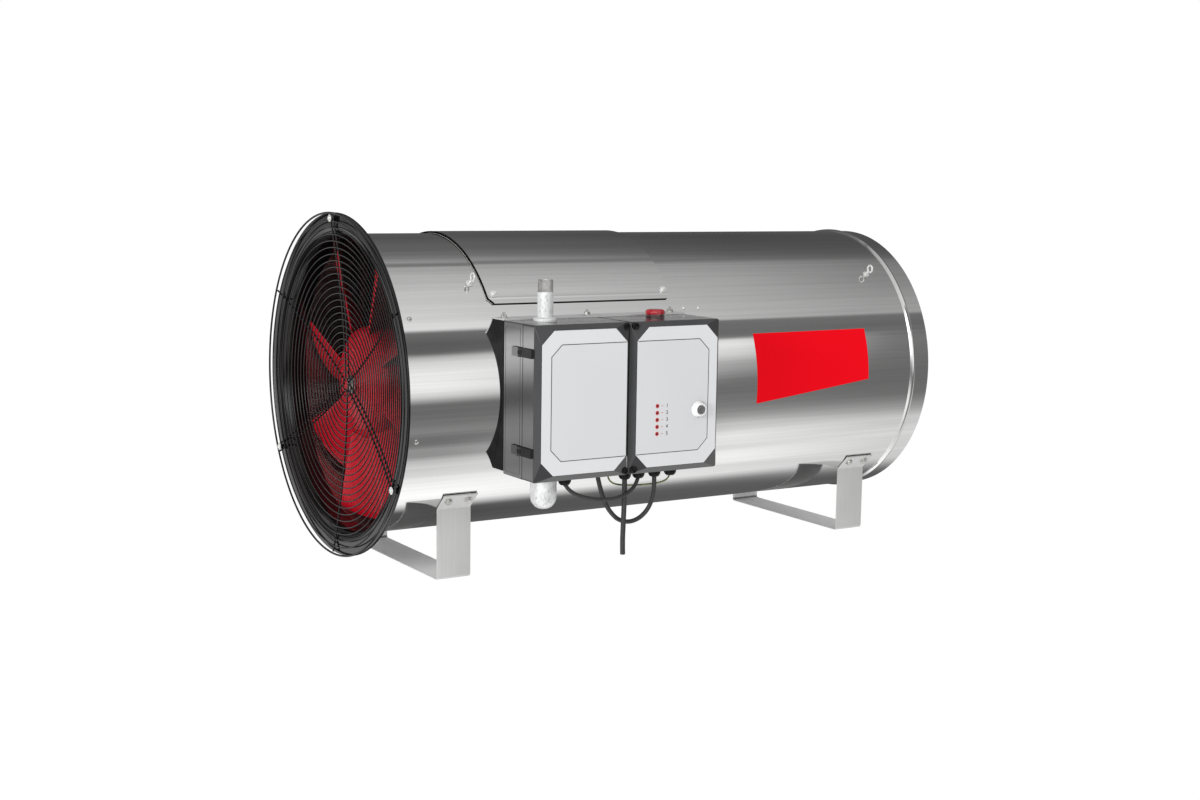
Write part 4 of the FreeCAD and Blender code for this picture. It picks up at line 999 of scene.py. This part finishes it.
# the black saddle's faces above the box tops take the satin steel finish: a painted light line along its top edge
for face in saddle.data.polygons:
    if face.center.z > (TOP + 0.06) * MM:
        face.material_index = 1
X1, X2, XE = B0 + BW, B0 + BW + 1.0, B0 + BW * 2 + 1.0
sb = Shape()
for x in (198.0, 362.0, 535.0):
    sb.add(washer((x, -252, TOP + 2.65), (0, 0, 1), 7.0, 2.2, 1.1))
    sb.add(hex_head((x, -252, TOP + 3.7), (0, 0, 1), 5.6, 4.5, 0.3 + x * 0.02))
    sb.add(bar(x, -252, TOP + 8.1, (0, 0, 1), 2.45, 4.2, 24))
for x in (205.0, 535.0):
    sb.add(washer((x, -252, SZ - 0.05), (0, 0, -1), 7.0, 2.2, 1.1))
    sb.add(hex_head((x, -252, SZ - 1.1), (0, 0, -1), 5.6, 3.3, 0.5))
sb.add(washer((384, -292, BZ - 0.05), (0, 0, -1), 6.6, 2.2, 1.1))
sb.add(hex_head((384, -292, BZ - 1.1), (0, 0, -1), 5.6, 3.4, 0.5))
sb.add(bar(384, -292, BZ - 4.4, (0, 0, -1), 2.5, 3.7, 24))
settle(build("saddle_bolt_set", sb, ZINC), "zinc_fastener", "saddle_bolts")

GLANDS = [283.6, 348.5, 404.9, 433.2, 466.5, 499.8]


def base_shell(name, node, x0, x1, side, cuts):
    o = eased(name, slab(x0, x1, -336.0, -270.65, BZ, TOP), CHAR, 2.6, 4, keep=lambda c: c.y < -335.9)
    inner = [slab(x0 + 3.5, x1 - 3.5, -346.0, -274.15, BZ + 3.5, TOP - 3.5)]
    xs = x0 if side < 0 else x1
    # field outlined by a groove in the outer side wall
    y0, y1, z0, z1, g = -329.0, -277.5, BZ + 7.0, TOP - 8.0, 1.3
    rail = prism([(y0, z0), (y1, z0), (y1, z1), (y0, z1)], lambda a, b, t: (t, a, b), xs - 0.9, xs + 0.9)
    field = cutter(rail)
    carve(field, [cutter(prism([(y0 + g, z0 + g), (y1 - g, z0 + g), (y1 - g, z1 - g), (y0 + g, z1 - g)], lambda a, b, t: (t, a, b), xs - 3.0, xs + 3.0))])
    carve(o, [cutter(*inner)])
    carve(o, [field])
    carve(o, [cutter(*cuts)])
    return settle(o, "charcoal_plastic", node, even=True)


base_shell("gas_box_shell", "gas_box_base", B0, X1, -1,
           [bar(248, -305, TOP - 20, (0, 0, 1), 13.6, 40), bar(248, -305, BZ - 20, (0, 0, 1), 13.6, 40), bar(345, -290, AZ, (0, 1, 0), 12, 40)]
           + [bar(x, -315, BZ - 20, (0, 0, 1), 8.1, 40) for x in GLANDS[:2]])
base_shell("control_box_shell", "control_box_base", X2, XE, 1,
           [bar(430, -290, AZ, (0, 1, 0), 12, 40), bar(470, -303, TOP - 20, (0, 0, 1), 8.1, 40), bar(384, -292, BZ - 20, (0, 0, 1), 2.6, 40)]
           + [bar(x, -315, BZ - 20, (0, 0, 1), 8.1, 40) for x in GLANDS[2:]])
refine("box_gaskets", "gasket_strips", RUBBER, 0.4, "seal_rubber")


def octagon(x0, x1, grow, inx=9.5, inl=11.2, inz=8.8, cutc=23.0):
    a0, a1, c0, c1 = x0 + inx - grow, x1 - inx + grow, BZ + inl - grow, TOP - inz + grow
    k = cutc
    return [(a0, c0 + k), (a0 + k, c0), (a1 - k, c0), (a1, c0 + k), (a1, c1 - k), (a1 - k, c1), (a0 + k, c1), (a0, c1 - k)]


def lid_shell(name, node, x0, x1, sx, body, cuts):
    outer = [(a, -384.3, c) for a, c in octagon(x0, x1, 0.7)]
    for y in (-374.0, -338.05):
        for ex, ez, q0 in ((x1 - 4.0, TOP - 4.0, 0), (x0 + 4.0, TOP - 4.0, 90), (x0 + 4.0, BZ + 4.0, 180), (x1 - 4.0, BZ + 4.0, 270)):
            outer += [(ex + 4.0 * math.cos(deg(q0 + 15 * k)), y, ez + 4.0 * math.sin(deg(q0 + 15 * k))) for k in range(7)]
    o = hull(name, outer, CHAR, 1.3, 3, keep=lambda c: c.y > -338.3)
    inner = [(a, -380.0, c) for a, c in octagon(x0, x1, -4.0)]
    for y in (-371.5, -330.0):
        inner += [(x0 + 3.5, y, BZ + 3.5), (x1 - 3.5, y, BZ + 3.5), (x0 + 3.5, y, TOP - 3.5), (x1 - 3.5, y, TOP - 3.5)]
    carve(o, [hull("cutter", inner, [], 0.0)])
    carve(o, [cutter(prism(octagon(x0, x1, 0.1), lambda a, b, t: (a, t, b), -390.0, -381.75))])
    carve(o, [cutter(*([bar(sx, -395, z, (0, 1, 0), 4.5, 30) for z in (BZ + 9.0, TOP - 7.0)] + cuts))])
    settle(o, "charcoal_plastic", node, body=body, even=True)
    collar = Shape()
    for z in (BZ + 9.0, TOP - 7.0):
        collar.add(lathe(soften([(-1.2, 4.5), (-1.2, 5.9), (8.0, 5.9), (8.0, 4.5)], 0.5, 3), 40, (sx, -381.5, z), (0, 1, 0), closed=True))
    settle(build(name + "_bosses", collar, HINGE), "charcoal_plastic", body=body)


SG, SC = X1 - 8.5, X2 + 8.0
lid_shell("gas_lid_shell", "gas_lid", B0, X1, SG, "gas_door", [])
lid_shell("control_lid_shell", "control_lid", X2, XE, SC, "control_door", [bar(509, -395, 302.3, (0, 1, 0), 7.8, 30)])
for name, sign in (("gas_box_shell", -1), ("gas_lid_shell", -1), ("control_box_shell", 1), ("control_lid_shell", 1)):
    me = bpy.data.objects[name].data
    me.materials.append(CHAR_SIDE)
    for face in me.polygons:
        if face.normal.x * sign > 0.95 and abs(face.center.x - W(B0 if sign < 0 else XE, 0, 0)[0]) < 1.5 * MM:
            face.material_index = 1
for name, node, sx, body in (("gas_lid_screw_set", "gas_lid_screws", SG, "gas_door"), ("control_lid_screw_set", "control_lid_screws", SC, "control_door")):
    o = cross_screw(name, [(sx, -376.4, z) for z in (BZ + 9.0, TOP - 7.0)], (0, -1, 0), 4.3, 3.3, HINGE)
    settle(o, "hinge_black", node, body=body)


def panel_plate(name, node, x0, x1, cuts, body, open_right):
    o = eased(name, prism(octagon(x0, x1, 0.0), lambda a, b, t: (a, t, b), -384.7, -381.8), PANEL, 0.5, 2)
    if cuts:
        carve(o, [cutter(*cuts)])
    settle(o, "panel_grey", node, body=body, even=True)
    # thin front sheet with a dark edge line, open towards the seam between the boxes
    a0, a1, c0, c1 = x0 + 9.5, x1 - 9.5, BZ + 11.2, TOP - 8.8
    ix, iz, k = 18.0, 23.5, 19.5
    if open_right:
        line = [(a1 - 0.8, c1 - iz), (a0 + ix + k, c1 - iz), (a0 + ix, c1 - iz - k), (a0 + ix, c0 + iz + k), (a0 + ix + k, c0 + iz), (a1 - 0.8, c0 + iz)]
    else:
        line = [(a0 + 0.8, c1 - iz), (a1 - ix - k, c1 - iz), (a1 - ix, c1 - iz - k), (a1 - ix, c0 + iz + k), (a1 - ix - k, c0 + iz), (a0 + 0.8, c0 + iz)]
    s, marks = Shape(), Shape()
    inner, outer = [], []
    cx, cz = (a0 + a1) / 2, (c0 + c1) / 2
    for i, p in enumerate(line):
        d0 = Vector(line[i]) - Vector(line[max(i - 1, 0)])
        d1 = Vector(line[min(i + 1, 5)]) - Vector(line[i])
        d0 = d0.normalized() if d0.length else d1.normalized()
        d1 = d1.normalized() if d1.length else d0
        b = (d0 + d1).normalized()
        nn = Vector((-b.y, b.x))
        if nn.dot(Vector((cx, cz)) - Vector(p)) < 0:
            nn = -nn
        w = 0.62 / max(0.5, b.dot(d0))
        inner.append((p[0] + nn.x * w, p[1] + nn.y * w))
        outer.append((p[0] - nn.x * w, p[1] - nn.y * w))
    n2 = len(line)
    for i in range(n2 - 1):
        quad = [outer[i], outer[i + 1], inner[i + 1], inner[i]]
        marks.add(prism(quad, lambda a, b, t: (a, t, b), -384.95, -384.6))
    sheet_part = prism(inner, lambda a, b, t: (a, t, b), -384.9, -384.6)
    s.add(sheet_part, 0)
    settle(build(name + "_line", marks, INK, 20.0), "panel_grey", body=body)
    f = build(name + "_sheet", s, SHEET, 20.0)
    if cuts:
        carve(f, [cutter(*cuts)], 20.0)
    settle(f, "panel_grey", body=body)


panel_plate("gas_panel_plate", "gas_panel", B0, X1, [], "gas_door", True)
leds = [(424.0, 312.6 - 12 * k) for k in range(5)]
panel_plate("control_panel_plate", "control_panel", X2, XE, [bar(509, -395, 302.3, (0, 1, 0), 7.8, 25)] + [bar(x, -395, z, (0, 1, 0), 2.55, 25, 24) for x, z in leds], "control_door", False)

lights = Shape()
for x, z in leds:
    lights.add(lathe([(3.6, 0), (3.6, 2.5), (0.4, 2.5), (-0.2, 2.2), (-0.6, 1.5), (-0.75, 0)], 32, (x, -384.9, z), (0, 1, 0)), 0)
    lights.add(lathe(soften([(-0.15, 2.56), (-0.15, 3.7), (0.25, 3.7), (0.25, 2.56)], 0.1, 2), 36, (x, -384.9, z), (0, 1, 0), closed=True), 1)
    lights.add(slab(x + 8.0, x + 12.0, -385.05, -384.8, z - 0.35, z + 0.35), 1)
settle(build("status_light_set", lights, [LED, LED_RING]), "led_red", "status_leds", body="control_door")
for k, (x, z) in enumerate(leds):
    cu = bpy.data.curves.new("numeral", "FONT")
    cu.body, cu.size, cu.extrude = str(k + 1), 9.0 * MM, 0.12 * MM
    cu.align_x, cu.align_y = "CENTER", "CENTER"
    t = bpy.data.objects.new("numeral", cu)
    scene.collection.objects.link(t)
    bpy.context.view_layer.update()
    me = bpy.data.meshes.new_from_object(t.evaluated_get(bpy.context.evaluated_depsgraph_get()))
    bpy.data.objects.remove(t)
    me.transform(Matrix.Translation(W(x + 20.0, -384.95, z)) @ Matrix.Rotation(deg(90), 4, "X"))
    o = bpy.data.objects.new("numeral_%d" % (k + 1), me)
    scene.collection.objects.link(o)
    me.materials.clear()
    me.materials.append(INK)
    settle(o, None, body="control_door")

bez = soften([(9.95, 7.85), (9.95, 15.0, 0.6), (8.2, 15.0, 1.0), (1.0, 11.4, 1.2), (0.0, 10.4, 0.8), (0.0, 8.7, 0.6), (1.3, 7.85, 0.4)], 0.3, 5)
settle(build("reset_collar", Shape().add(lathe(bez, 72, (509, -394.7, 302.3), (0, 1, 0), closed=True)), BEZEL), "bezel_white", "reset_bezel", body="control_door")
but = soften([(18.6, 0), (18.6, 7.4, 0.5), (1.0, 7.4, 1.2), (0.1, 6.0, 0.8), (0.5, 4.2, 1.5), (1.1, 0)], 0.5, 5, closed=False)
settle(build("reset_cap", Shape().add(lathe(but, 64, (509, -396.3, 302.3), (0, 1, 0))), BUTTON), "button_grey", "reset_button", body="reset_plunger")

# hinges
refine("base_hinge_leaves", "hinge_base_blocks", HINGE_BASE, 0.9, "hinge_black", segs=3)
refine("gas_lid_hinges", "hinge_gas_blocks", HINGE_LID, 0.9, "hinge_black", body="gas_door", segs=3)
refine("control_lid_hinges", "hinge_control_blocks", HINGE, 0.9, "hinge_black", body="control_door", segs=3)
refine("hinge_pins", "hinge_pin_set", ZINC, 0.3, "zinc_fastener")

# ------------------------------------------------------------------ gas train
pipe = Shape()
zs = [454.0, 470.0, 503.0, 504.5]
pipe.add(lathe([(372.0, 10.45), (372.0, 13.45)] + [(z, 13.45) for z in zs] + [(505.6, 12.9), (505.6, 10.45)], 64, (248, -305, 0), (0, 0, 1), closed=True), 0)
NP, NT = 72, 132
verts, faces = [], []
for j in range(NT + 1):
    z = 505.0 + 21.0 * j / NT
    for i in range(NP):
        g = 2 * math.pi * i / NP
        ph = ((z - 505.0) / 1.81 - i / NP) % 1.0
        cut = 0.95 * (1 - abs(2 * ph - 1)) ** 0.9
        r = 13.2 - cut * min(1.0, (z - 504.8) / 2.0) - 0.35 * max(0.0, (z - 524.2) / 1.8)
        verts.append((248 + r * math.cos(g), -305 + r * math.sin(g), z))
for j in range(NT):
    faces += [[j * NP + i, j * NP + (i + 1) % NP, (j + 1) * NP + (i + 1) % NP, (j + 1) * NP + i] for i in range(NP)]
k = len(verts)
for z, r in ((526.0, 10.9), (525.4, 10.45), (505.0, 10.45)):
    verts += [(248 + r * math.cos(2 * math.pi * i / NP), -305 + r * math.sin(2 * math.pi * i / NP), z) for i in range(NP)]
rowsx = [NT * NP, k, k + NP, k + 2 * NP, 0]
for a, b in zip(rowsx, rowsx[1:]):
    faces += [[a + i, a + (i + 1) % NP, b + (i + 1) % NP, b + i] for i in range(NP)]
pipe.add((verts, faces), 1)
pipe.add(lathe([(176, 10.45), (176, 13.45), (295, 13.45), (295, 10.45)], 64, (248, -305, 0), (0, 0, 1), closed=True), 0)
settle(build("gas_pipe_run", pipe, [GALV, THREAD], 38.0), "galvanised", "gas_pipes")
fl = soften([(456.85, 13.5), (456.85, 20.0, 0.6), (461.1, 20.0, 1.6), (463.3, 17.0, 1.2), (463.3, 13.5)], 0.3, 5)
settle(build("gas_collar", Shape().add(lathe(fl, 72, (248, -305, 0), (0, 0, 1), closed=True)), GALV), "galvanised", "gas_inlet_flange")
cap = [(196.55, 13.55), (196.55, 22.0), (196.0, 22.5), (173.0, 22.5), (172.2, 22.9), (163.0, 22.9), (161.6, 22.5), (158.5, 22.3)]
cap += [(158.5 - 21.4 * math.sin(deg(6 * k)), 22.3 * math.cos(deg(6 * k)) ** 0.85) for k in range(1, 15)] + [(137.05, 0)]
cap = [(175.5, 0), (175.5, 13.55)] + cap
settle(build("drip_cap_skin", Shape().add(lathe(cap, 72, (248, -305, 0), (0, 0, 1))), GALV, 40.0), "galvanised", "drip_cap")
refine("gas_tee", "tee_fitting", GALV, 1.0, "galvanised", segs=3)
refine("gas_valve_body", "valve_block", BRASS, 1.2, "brass", segs=3)
refine("solenoid_coils", "coil_pair", STAT, 1.0, "thermostat_black", segs=3)
refine("control_board", "board_assembly", BOARD, 0.4, "board_green")
refine("ignition_transformer", "transformer_case", BLUE, 1.2, "transformer_blue", segs=3)

lb = soften([(456.85, 0), (456.85, 16.6, 0.5), (458.1, 16.6, 0.4), (458.5, 15.9, 0.3), (461.4, 15.9, 0.3), (461.8, 15.6, 0.3), (461.8, 0)], 0.3, 4, closed=False)
lamp = Shape().add(lathe(lb, 64, (470, -303, 0), (0, 0, 1)))
lamp.add(bar(470, -303, 444.8, (0, 0, 1), 8.0, 12.2, 40))
settle(build("lamp_foot", lamp, LAMP_BASE), "lamp_black", "alarm_lamp_base")
prof = [(461.85, 0), (461.85, 16.9), (462.3, 17.3)] + [(462.5 + 2.8 * k / 3, 17.3) for k in range(4)]
prof += [(465.3 + 5.0 * math.sin(deg(9 * k)), 10.5 + 6.8 * math.cos(deg(9 * k))) for k in range(1, 11)] + [(470.35, 6.0), (470.4, 0)]
settle(build("lamp_lens", Shape().add(lathe(prof, 72, (470, -303, 0), (0, 0, 1))), LENS), "lamp_red", "alarm_lamp_lens")

# cable glands: hexagon body and fluted dome nut
gb, gn = Shape(), Shape()
for x in GLANDS:
    gb.add(hex_head((x, -315, 196.6), (0, 0, -1), 11.8, 5.9, 0.26))
    gb.add(bar(x, -315, 195.7, (0, 0, 1), 8.0, 8.0, 40))
    if x == GLANDS[1]:
        continue
    NG = 72
    verts, faces = [], []
    prof = [(190.5, 11.2, 0), (189.9, 11.5, 0.3), (188.9, 11.5, 1), (186.0, 11.5, 1), (184.6, 11.3, 0.5), (183.0, 10.9, 0), (180.6, 10.1, 0), (178.7, 8.9, 0), (177.5, 7.7, 0), (177.0, 7.1, 0), (177.15, 6.6, 0), (181.0, 6.55, 0)]
    for z, r, flute in prof:
        for i in range(NG):
            g = 2 * math.pi * i / NG
            rr = r - flute * 0.55 * (0.5 - 0.5 * math.cos(12 * g)) ** 2
            verts.append((x + rr * math.cos(g), -315 + rr * math.sin(g), z))
    for j in range(len(prof) - 1):
        faces += [[j * NG + i, j * NG + (i + 1) % NG, (j + 1) * NG + (i + 1) % NG, (j + 1) * NG + i] for i in range(NG)]
    for j, z in ((0, 190.5), (len(prof) - 1, 181.0)):
        c = len(verts)
        verts.append((x, -315, z))
        faces += [[j * NG + i, j * NG + (i + 1) % NG, c] for i in range(NG)]
    gn.add((verts, faces))
settle(build("gland_body_set", gb, HINGE), "hinge_black", "gland_bodies")
settle(build("gland_nut_set", gn, HINGE, 50.0), "hinge_black", "gland_nuts")

# ------------------------------------------------------------------ plain label on the casing
lab = Shape()
corners = ((722.9, 71.05), (991.4, 70.95), (995.0, 92.25), (727.8, 99.5))
nu, nv = 60, 36
for rr in (265.02, 265.22):
    for j in range(nv + 1):
        for i in range(nu + 1):
            u, v = i / nu, j / nv
            wt = ((1 - u) * (1 - v), u * (1 - v), u * v, (1 - u) * v)
            lab.v.append(tuple(on_casing(sum(w * c[0] for w, c in zip(wt, corners)), sum(w * c[1] for w, c in zip(wt, corners)), rr)))
m = (nu + 1) * (nv + 1)
for j in range(nv):
    for i in range(nu):
        q = [j * (nu + 1) + i, j * (nu + 1) + i + 1, (j + 1) * (nu + 1) + i + 1, (j + 1) * (nu + 1) + i]
        lab.f += [q, [x + m for x in reversed(q)]]
rim = [i for i in range(nu + 1)] + [(j + 1) * (nu + 1) + nu for j in range(nv)] + [nv * (nu + 1) + i for i in range(nu - 1, -1, -1)] + [j * (nu + 1) for j in range(nv - 1, 0, -1)]
lab.f += [[a, b, b + m, a + m] for a, b in zip(rim, rim[1:] + rim[:1])]
lab.m = [0] * len(lab.f)
settle(build("side_label", lab, LABEL, 25.0), None)

for o in list(scene.objects):
    if o.type == "MESH" and o.name not in ("saddle_sheet",) and not o.name.startswith(("pipe", "lamp")):
        c = sum((o.matrix_world @ Vector(v) for v in o.bound_box), Vector()) / 8
        lo, hi = W(180, -420, 196), W(566, -246, 459)
        if all(l < v < h for l, v, h in zip(lo, c, hi)):
            o.visible_glossy = False

# ------------------------------------------------------------------ stage, light
floor = bpy.data.meshes.new("floor")
floor.from_pydata([(-30, -30, 0), (30, -30, 0), (30, 30, 0), (-30, 30, 0)], [], [[0, 1, 2, 3]])
fo = bpy.data.objects.new("floor", floor)
scene.collection.objects.link(fo)
fm = bpy.data.materials.new("floor_white")
fm.use_nodes = True
fb = fm.node_tree.nodes["Principled BSDF"]
fb.inputs["Base Color"].default_value = (0.02, 0.02, 0.02, 1)
fb.inputs["Roughness"].default_value = 0.9
fb.inputs["Specular IOR Level"].default_value = 0.0
fb.inputs["Emission Color"].default_value = (1, 1, 1, 1)
fb.inputs["Emission Strength"].default_value = 1.0
floor.materials.append(fm)
fo.visible_glossy = False

world = bpy.data.worlds.new("studio")
scene.world = world
world.use_nodes = True
wt = world.node_tree
wt.nodes.clear()
N = wt.nodes.new
link = wt.links.new


def math_node(op, a, b=None, clamp=False):
    m = N("ShaderNodeMath")
    m.operation = op
    m.use_clamp = clamp
    for s, v in ((m.inputs[0], a), (m.inputs[1], b)):
        if v is None:
            continue
        if isinstance(v, (int, float)):
            s.default_value = v
        else:
            link(v, s)
    return m.outputs[0]


def bands(fac, stops):
    """Strips of light and dark round the casing axis; stops are (degrees, brightness)."""
    r = N("ShaderNodeValToRGB")
    el = r.color_ramp.elements
    while len(el) < len(stops):
        el.new(0.5)
    for e, (a, v) in zip(el, sorted(stops)):
        e.position = (a + 180) / 360
        e.color = (v, v, v, 1)
    link(fac, r.inputs["Fac"])
    return r.outputs["Color"]


tc = N("ShaderNodeTexCoord")
sep = N("ShaderNodeSeparateXYZ")
link(tc.outputs["Generated"], sep.inputs[0])
eps = math_node("ARCTAN2", sep.outputs[2], math_node("MULTIPLY", sep.outputs[1], -1.0))
fac = math_node("ADD", math_node("MULTIPLY", eps, 1 / (2 * math.pi)), 0.5)
xd = sep.outputs[0]


def scaled(color, fac):
    m = N("ShaderNodeVectorMath")
    m.operation = "SCALE"
    link(color, m.inputs[0])
    link(fac, m.inputs["Scale"])
    return m.outputs[0]


def plus(a, b):
    m = N("ShaderNodeVectorMath")
    m.operation = "ADD"
    link(a, m.inputs[0])
    link(b, m.inputs[1])
    return m.outputs[0]


def spread(stops):
    """A long list of strips, shared between two ramps."""
    stops = sorted(stops)
    k = len(stops) // 2
    a, v = stops[k]
    low = bands(fac, stops[:k + 1] + [(a + 0.02, 0.0)])
    return plus(low, bands(fac, [(a, 0.0), (a + 0.02, v)] + stops[k + 1:]))


# three sets of strips follow one another along the studio, from the middle to the outlet side
near = spread([(-180, 0.10), (-150, 0.12), (-122, 0.10), (-112, 0.12), (-107, 0.6), (-100, 1.35), (-90, 1.5), (-82, 1.4), (-74, 1.2), (-68, 0.95), (-62, 0.92), (-57, 0.76), (-52.5, 0.42),
               (-46.5, 0.42), (-42, 0.21), (-37, 0.24), (-31.5, 0.35), (-27, 0.26), (-20, 0.22), (-11.5, 0.21), (-8, 0.55), (-4, 1.05), (1, 1.28), (10, 1.25), (15, 1.12), (19.5, 0.99), (24, 0.66),
               (27, 0.17), (33, 0.15), (44.2, 0.21), (45.4, 1.08), (52, 0.97), (57, 0.91), (67, 0.83), (78, 0.77), (90, 0.66), (96, 0.60), (104, 0.47), (105.4, 0.22), (107, 0.24), (109.5, 0.41),
               (111.5, 0.41), (114.5, 0.28), (118, 0.23), (127, 0.17), (138, 0.15), (152, 0.11), (180, 0.10)])
middle = spread([(-180, 0.10), (-150, 0.12), (-134, 0.13), (-119.5, 0.17), (-113, 0.25), (-108, 0.46), (-103, 0.85), (-98.6, 1.08), (-90, 1.0), (-84, 1.3), (-75, 1.28), (-68.5, 1.08), (-62, 1.2),
                 (-56, 1.24), (-50, 0.95), (-44, 0.80), (-39, 0.52), (-33, 0.36), (-28, 0.30), (-22.6, 0.26), (-17, 0.23), (-9, 0.23), (-4, 0.30), (0, 0.41), (4, 0.50), (8, 0.57), (11, 0.78),
                 (14, 0.93), (19, 1.08), (24, 1.24), (26.5, 1.1), (28, 0.5), (30, 0.21), (43.6, 0.22), (45, 0.66), (50, 0.67), (60, 0.62), (72, 0.57), (85, 0.52), (98.6, 0.42), (102.5, 0.38),
                 (106.4, 0.23), (115, 0.15), (125, 0.12), (137, 0.10), (152, 0.08), (180, 0.10)])
far = spread([(-180, 0.10), (-150, 0.12), (-130, 0.13), (-120, 0.25), (-112, 0.5), (-103, 0.82), (-90, 0.92), (-80, 0.90), (-70, 1.0), (-61, 0.90), (-52, 0.86), (-44, 0.54), (-36, 0.34), (-29, 0.23),
              (-14, 0.20), (0, 0.21), (15, 0.23), (22, 0.25), (29, 0.21), (36, 0.19), (43.4, 0.22), (45, 0.49), (51, 0.48), (59, 0.44), (67.5, 0.39), (76, 0.35), (95, 0.29), (104, 0.24), (107, 0.17),
              (115, 0.13), (130, 0.10), (180, 0.10)])
# the fan side of the studio has one strong window light
flank = spread([(-180, 0.35), (-172, 0.8), (-165, 1.05), (-157, 0.9), (-150, 0.45), (-143, 0.2), (-122, 0.12), (-112, 0.14), (-107, 0.6), (-100, 1.3), (-90, 1.4), (-80, 1.3), (-67, 0.95),
                (-61, 1.0), (-50, 1.05), (-45, 1.2), (-37, 1.3), (-30, 1.2), (-25, 1.0), (-20, 0.75), (-15.5, 0.45), (-10.8, 0.30), (-6.2, 0.40), (-1.5, 0.62), (3.1, 1.1), (7.7, 1.7),
                (12.3, 2.3), (18, 2.9), (26, 3.2), (34, 3.0), (39, 2.3), (43, 1.2), (46, 0.95), (60, 0.88), (80, 0.74), (100, 0.5), (106, 0.2), (118, 0.2), (128, 0.25), (134, 0.6), (140, 0.95),
                (147, 0.9), (153, 0.4), (160, 0.2), (170, 0.2), (180, 0.35)])
t1 = math_node("MULTIPLY", math_node("SUBTRACT", xd, 0.44), 1 / 0.15, clamp=True)
t2 = math_node("MULTIPLY", math_node("SUBTRACT", xd, 0.59), 1 / 0.07, clamp=True)
side = math_node("MULTIPLY", math_node("SUBTRACT", -0.08, xd), 1 / 0.25, clamp=True)
rest = math_node("SUBTRACT", math_node("SUBTRACT", 1.0, t1), side)
lit = plus(plus(scaled(near, rest), scaled(middle, math_node("SUBTRACT", t1, t2))), plus(scaled(far, t2), scaled(flank, side)))
lp = N("ShaderNodeLightPath")
mix = N("ShaderNodeMix")
mix.data_type = "RGBA"
mix.inputs["A"].default_value = (1, 1, 1, 1)
for s in mix.inputs:
    if s.name == "A" and s.type == "RGBA":
        s.default_value = (1, 1, 1, 1)
    if s.name == "B" and s.type == "RGBA":
        link(lit, s)
link(lp.outputs["Is Glossy Ray"], mix.inputs["Factor"])
bg = N("ShaderNodeBackground")
link([s for s in mix.outputs if s.type == "RGBA"][0], bg.inputs["Color"])
wo = N("ShaderNodeOutputWorld")
link(bg.outputs[0], wo.inputs["Surface"])


def area(name, at, to, size, power, glossy=False):
    d = bpy.data.lights.new(name, "AREA")
    d.shape, d.size, d.size_y, d.energy = "RECTANGLE", size[0], size[1], power
    o = bpy.data.objects.new(name, d)
    o.location = at
    o.rotation_mode = "QUATERNION"
    o.rotation_quaternion = (Vector(to) - Vector(at)).to_track_quat("-Z", "Y")
    o.visible_glossy = glossy
    o.visible_camera = False
    scene.collection.objects.link(o)
    return o


area("inlet_light", (-3.2, -1.3, 0.9), (-0.5, 0.05, 0.3), (1.2, 1.2), 70.0)
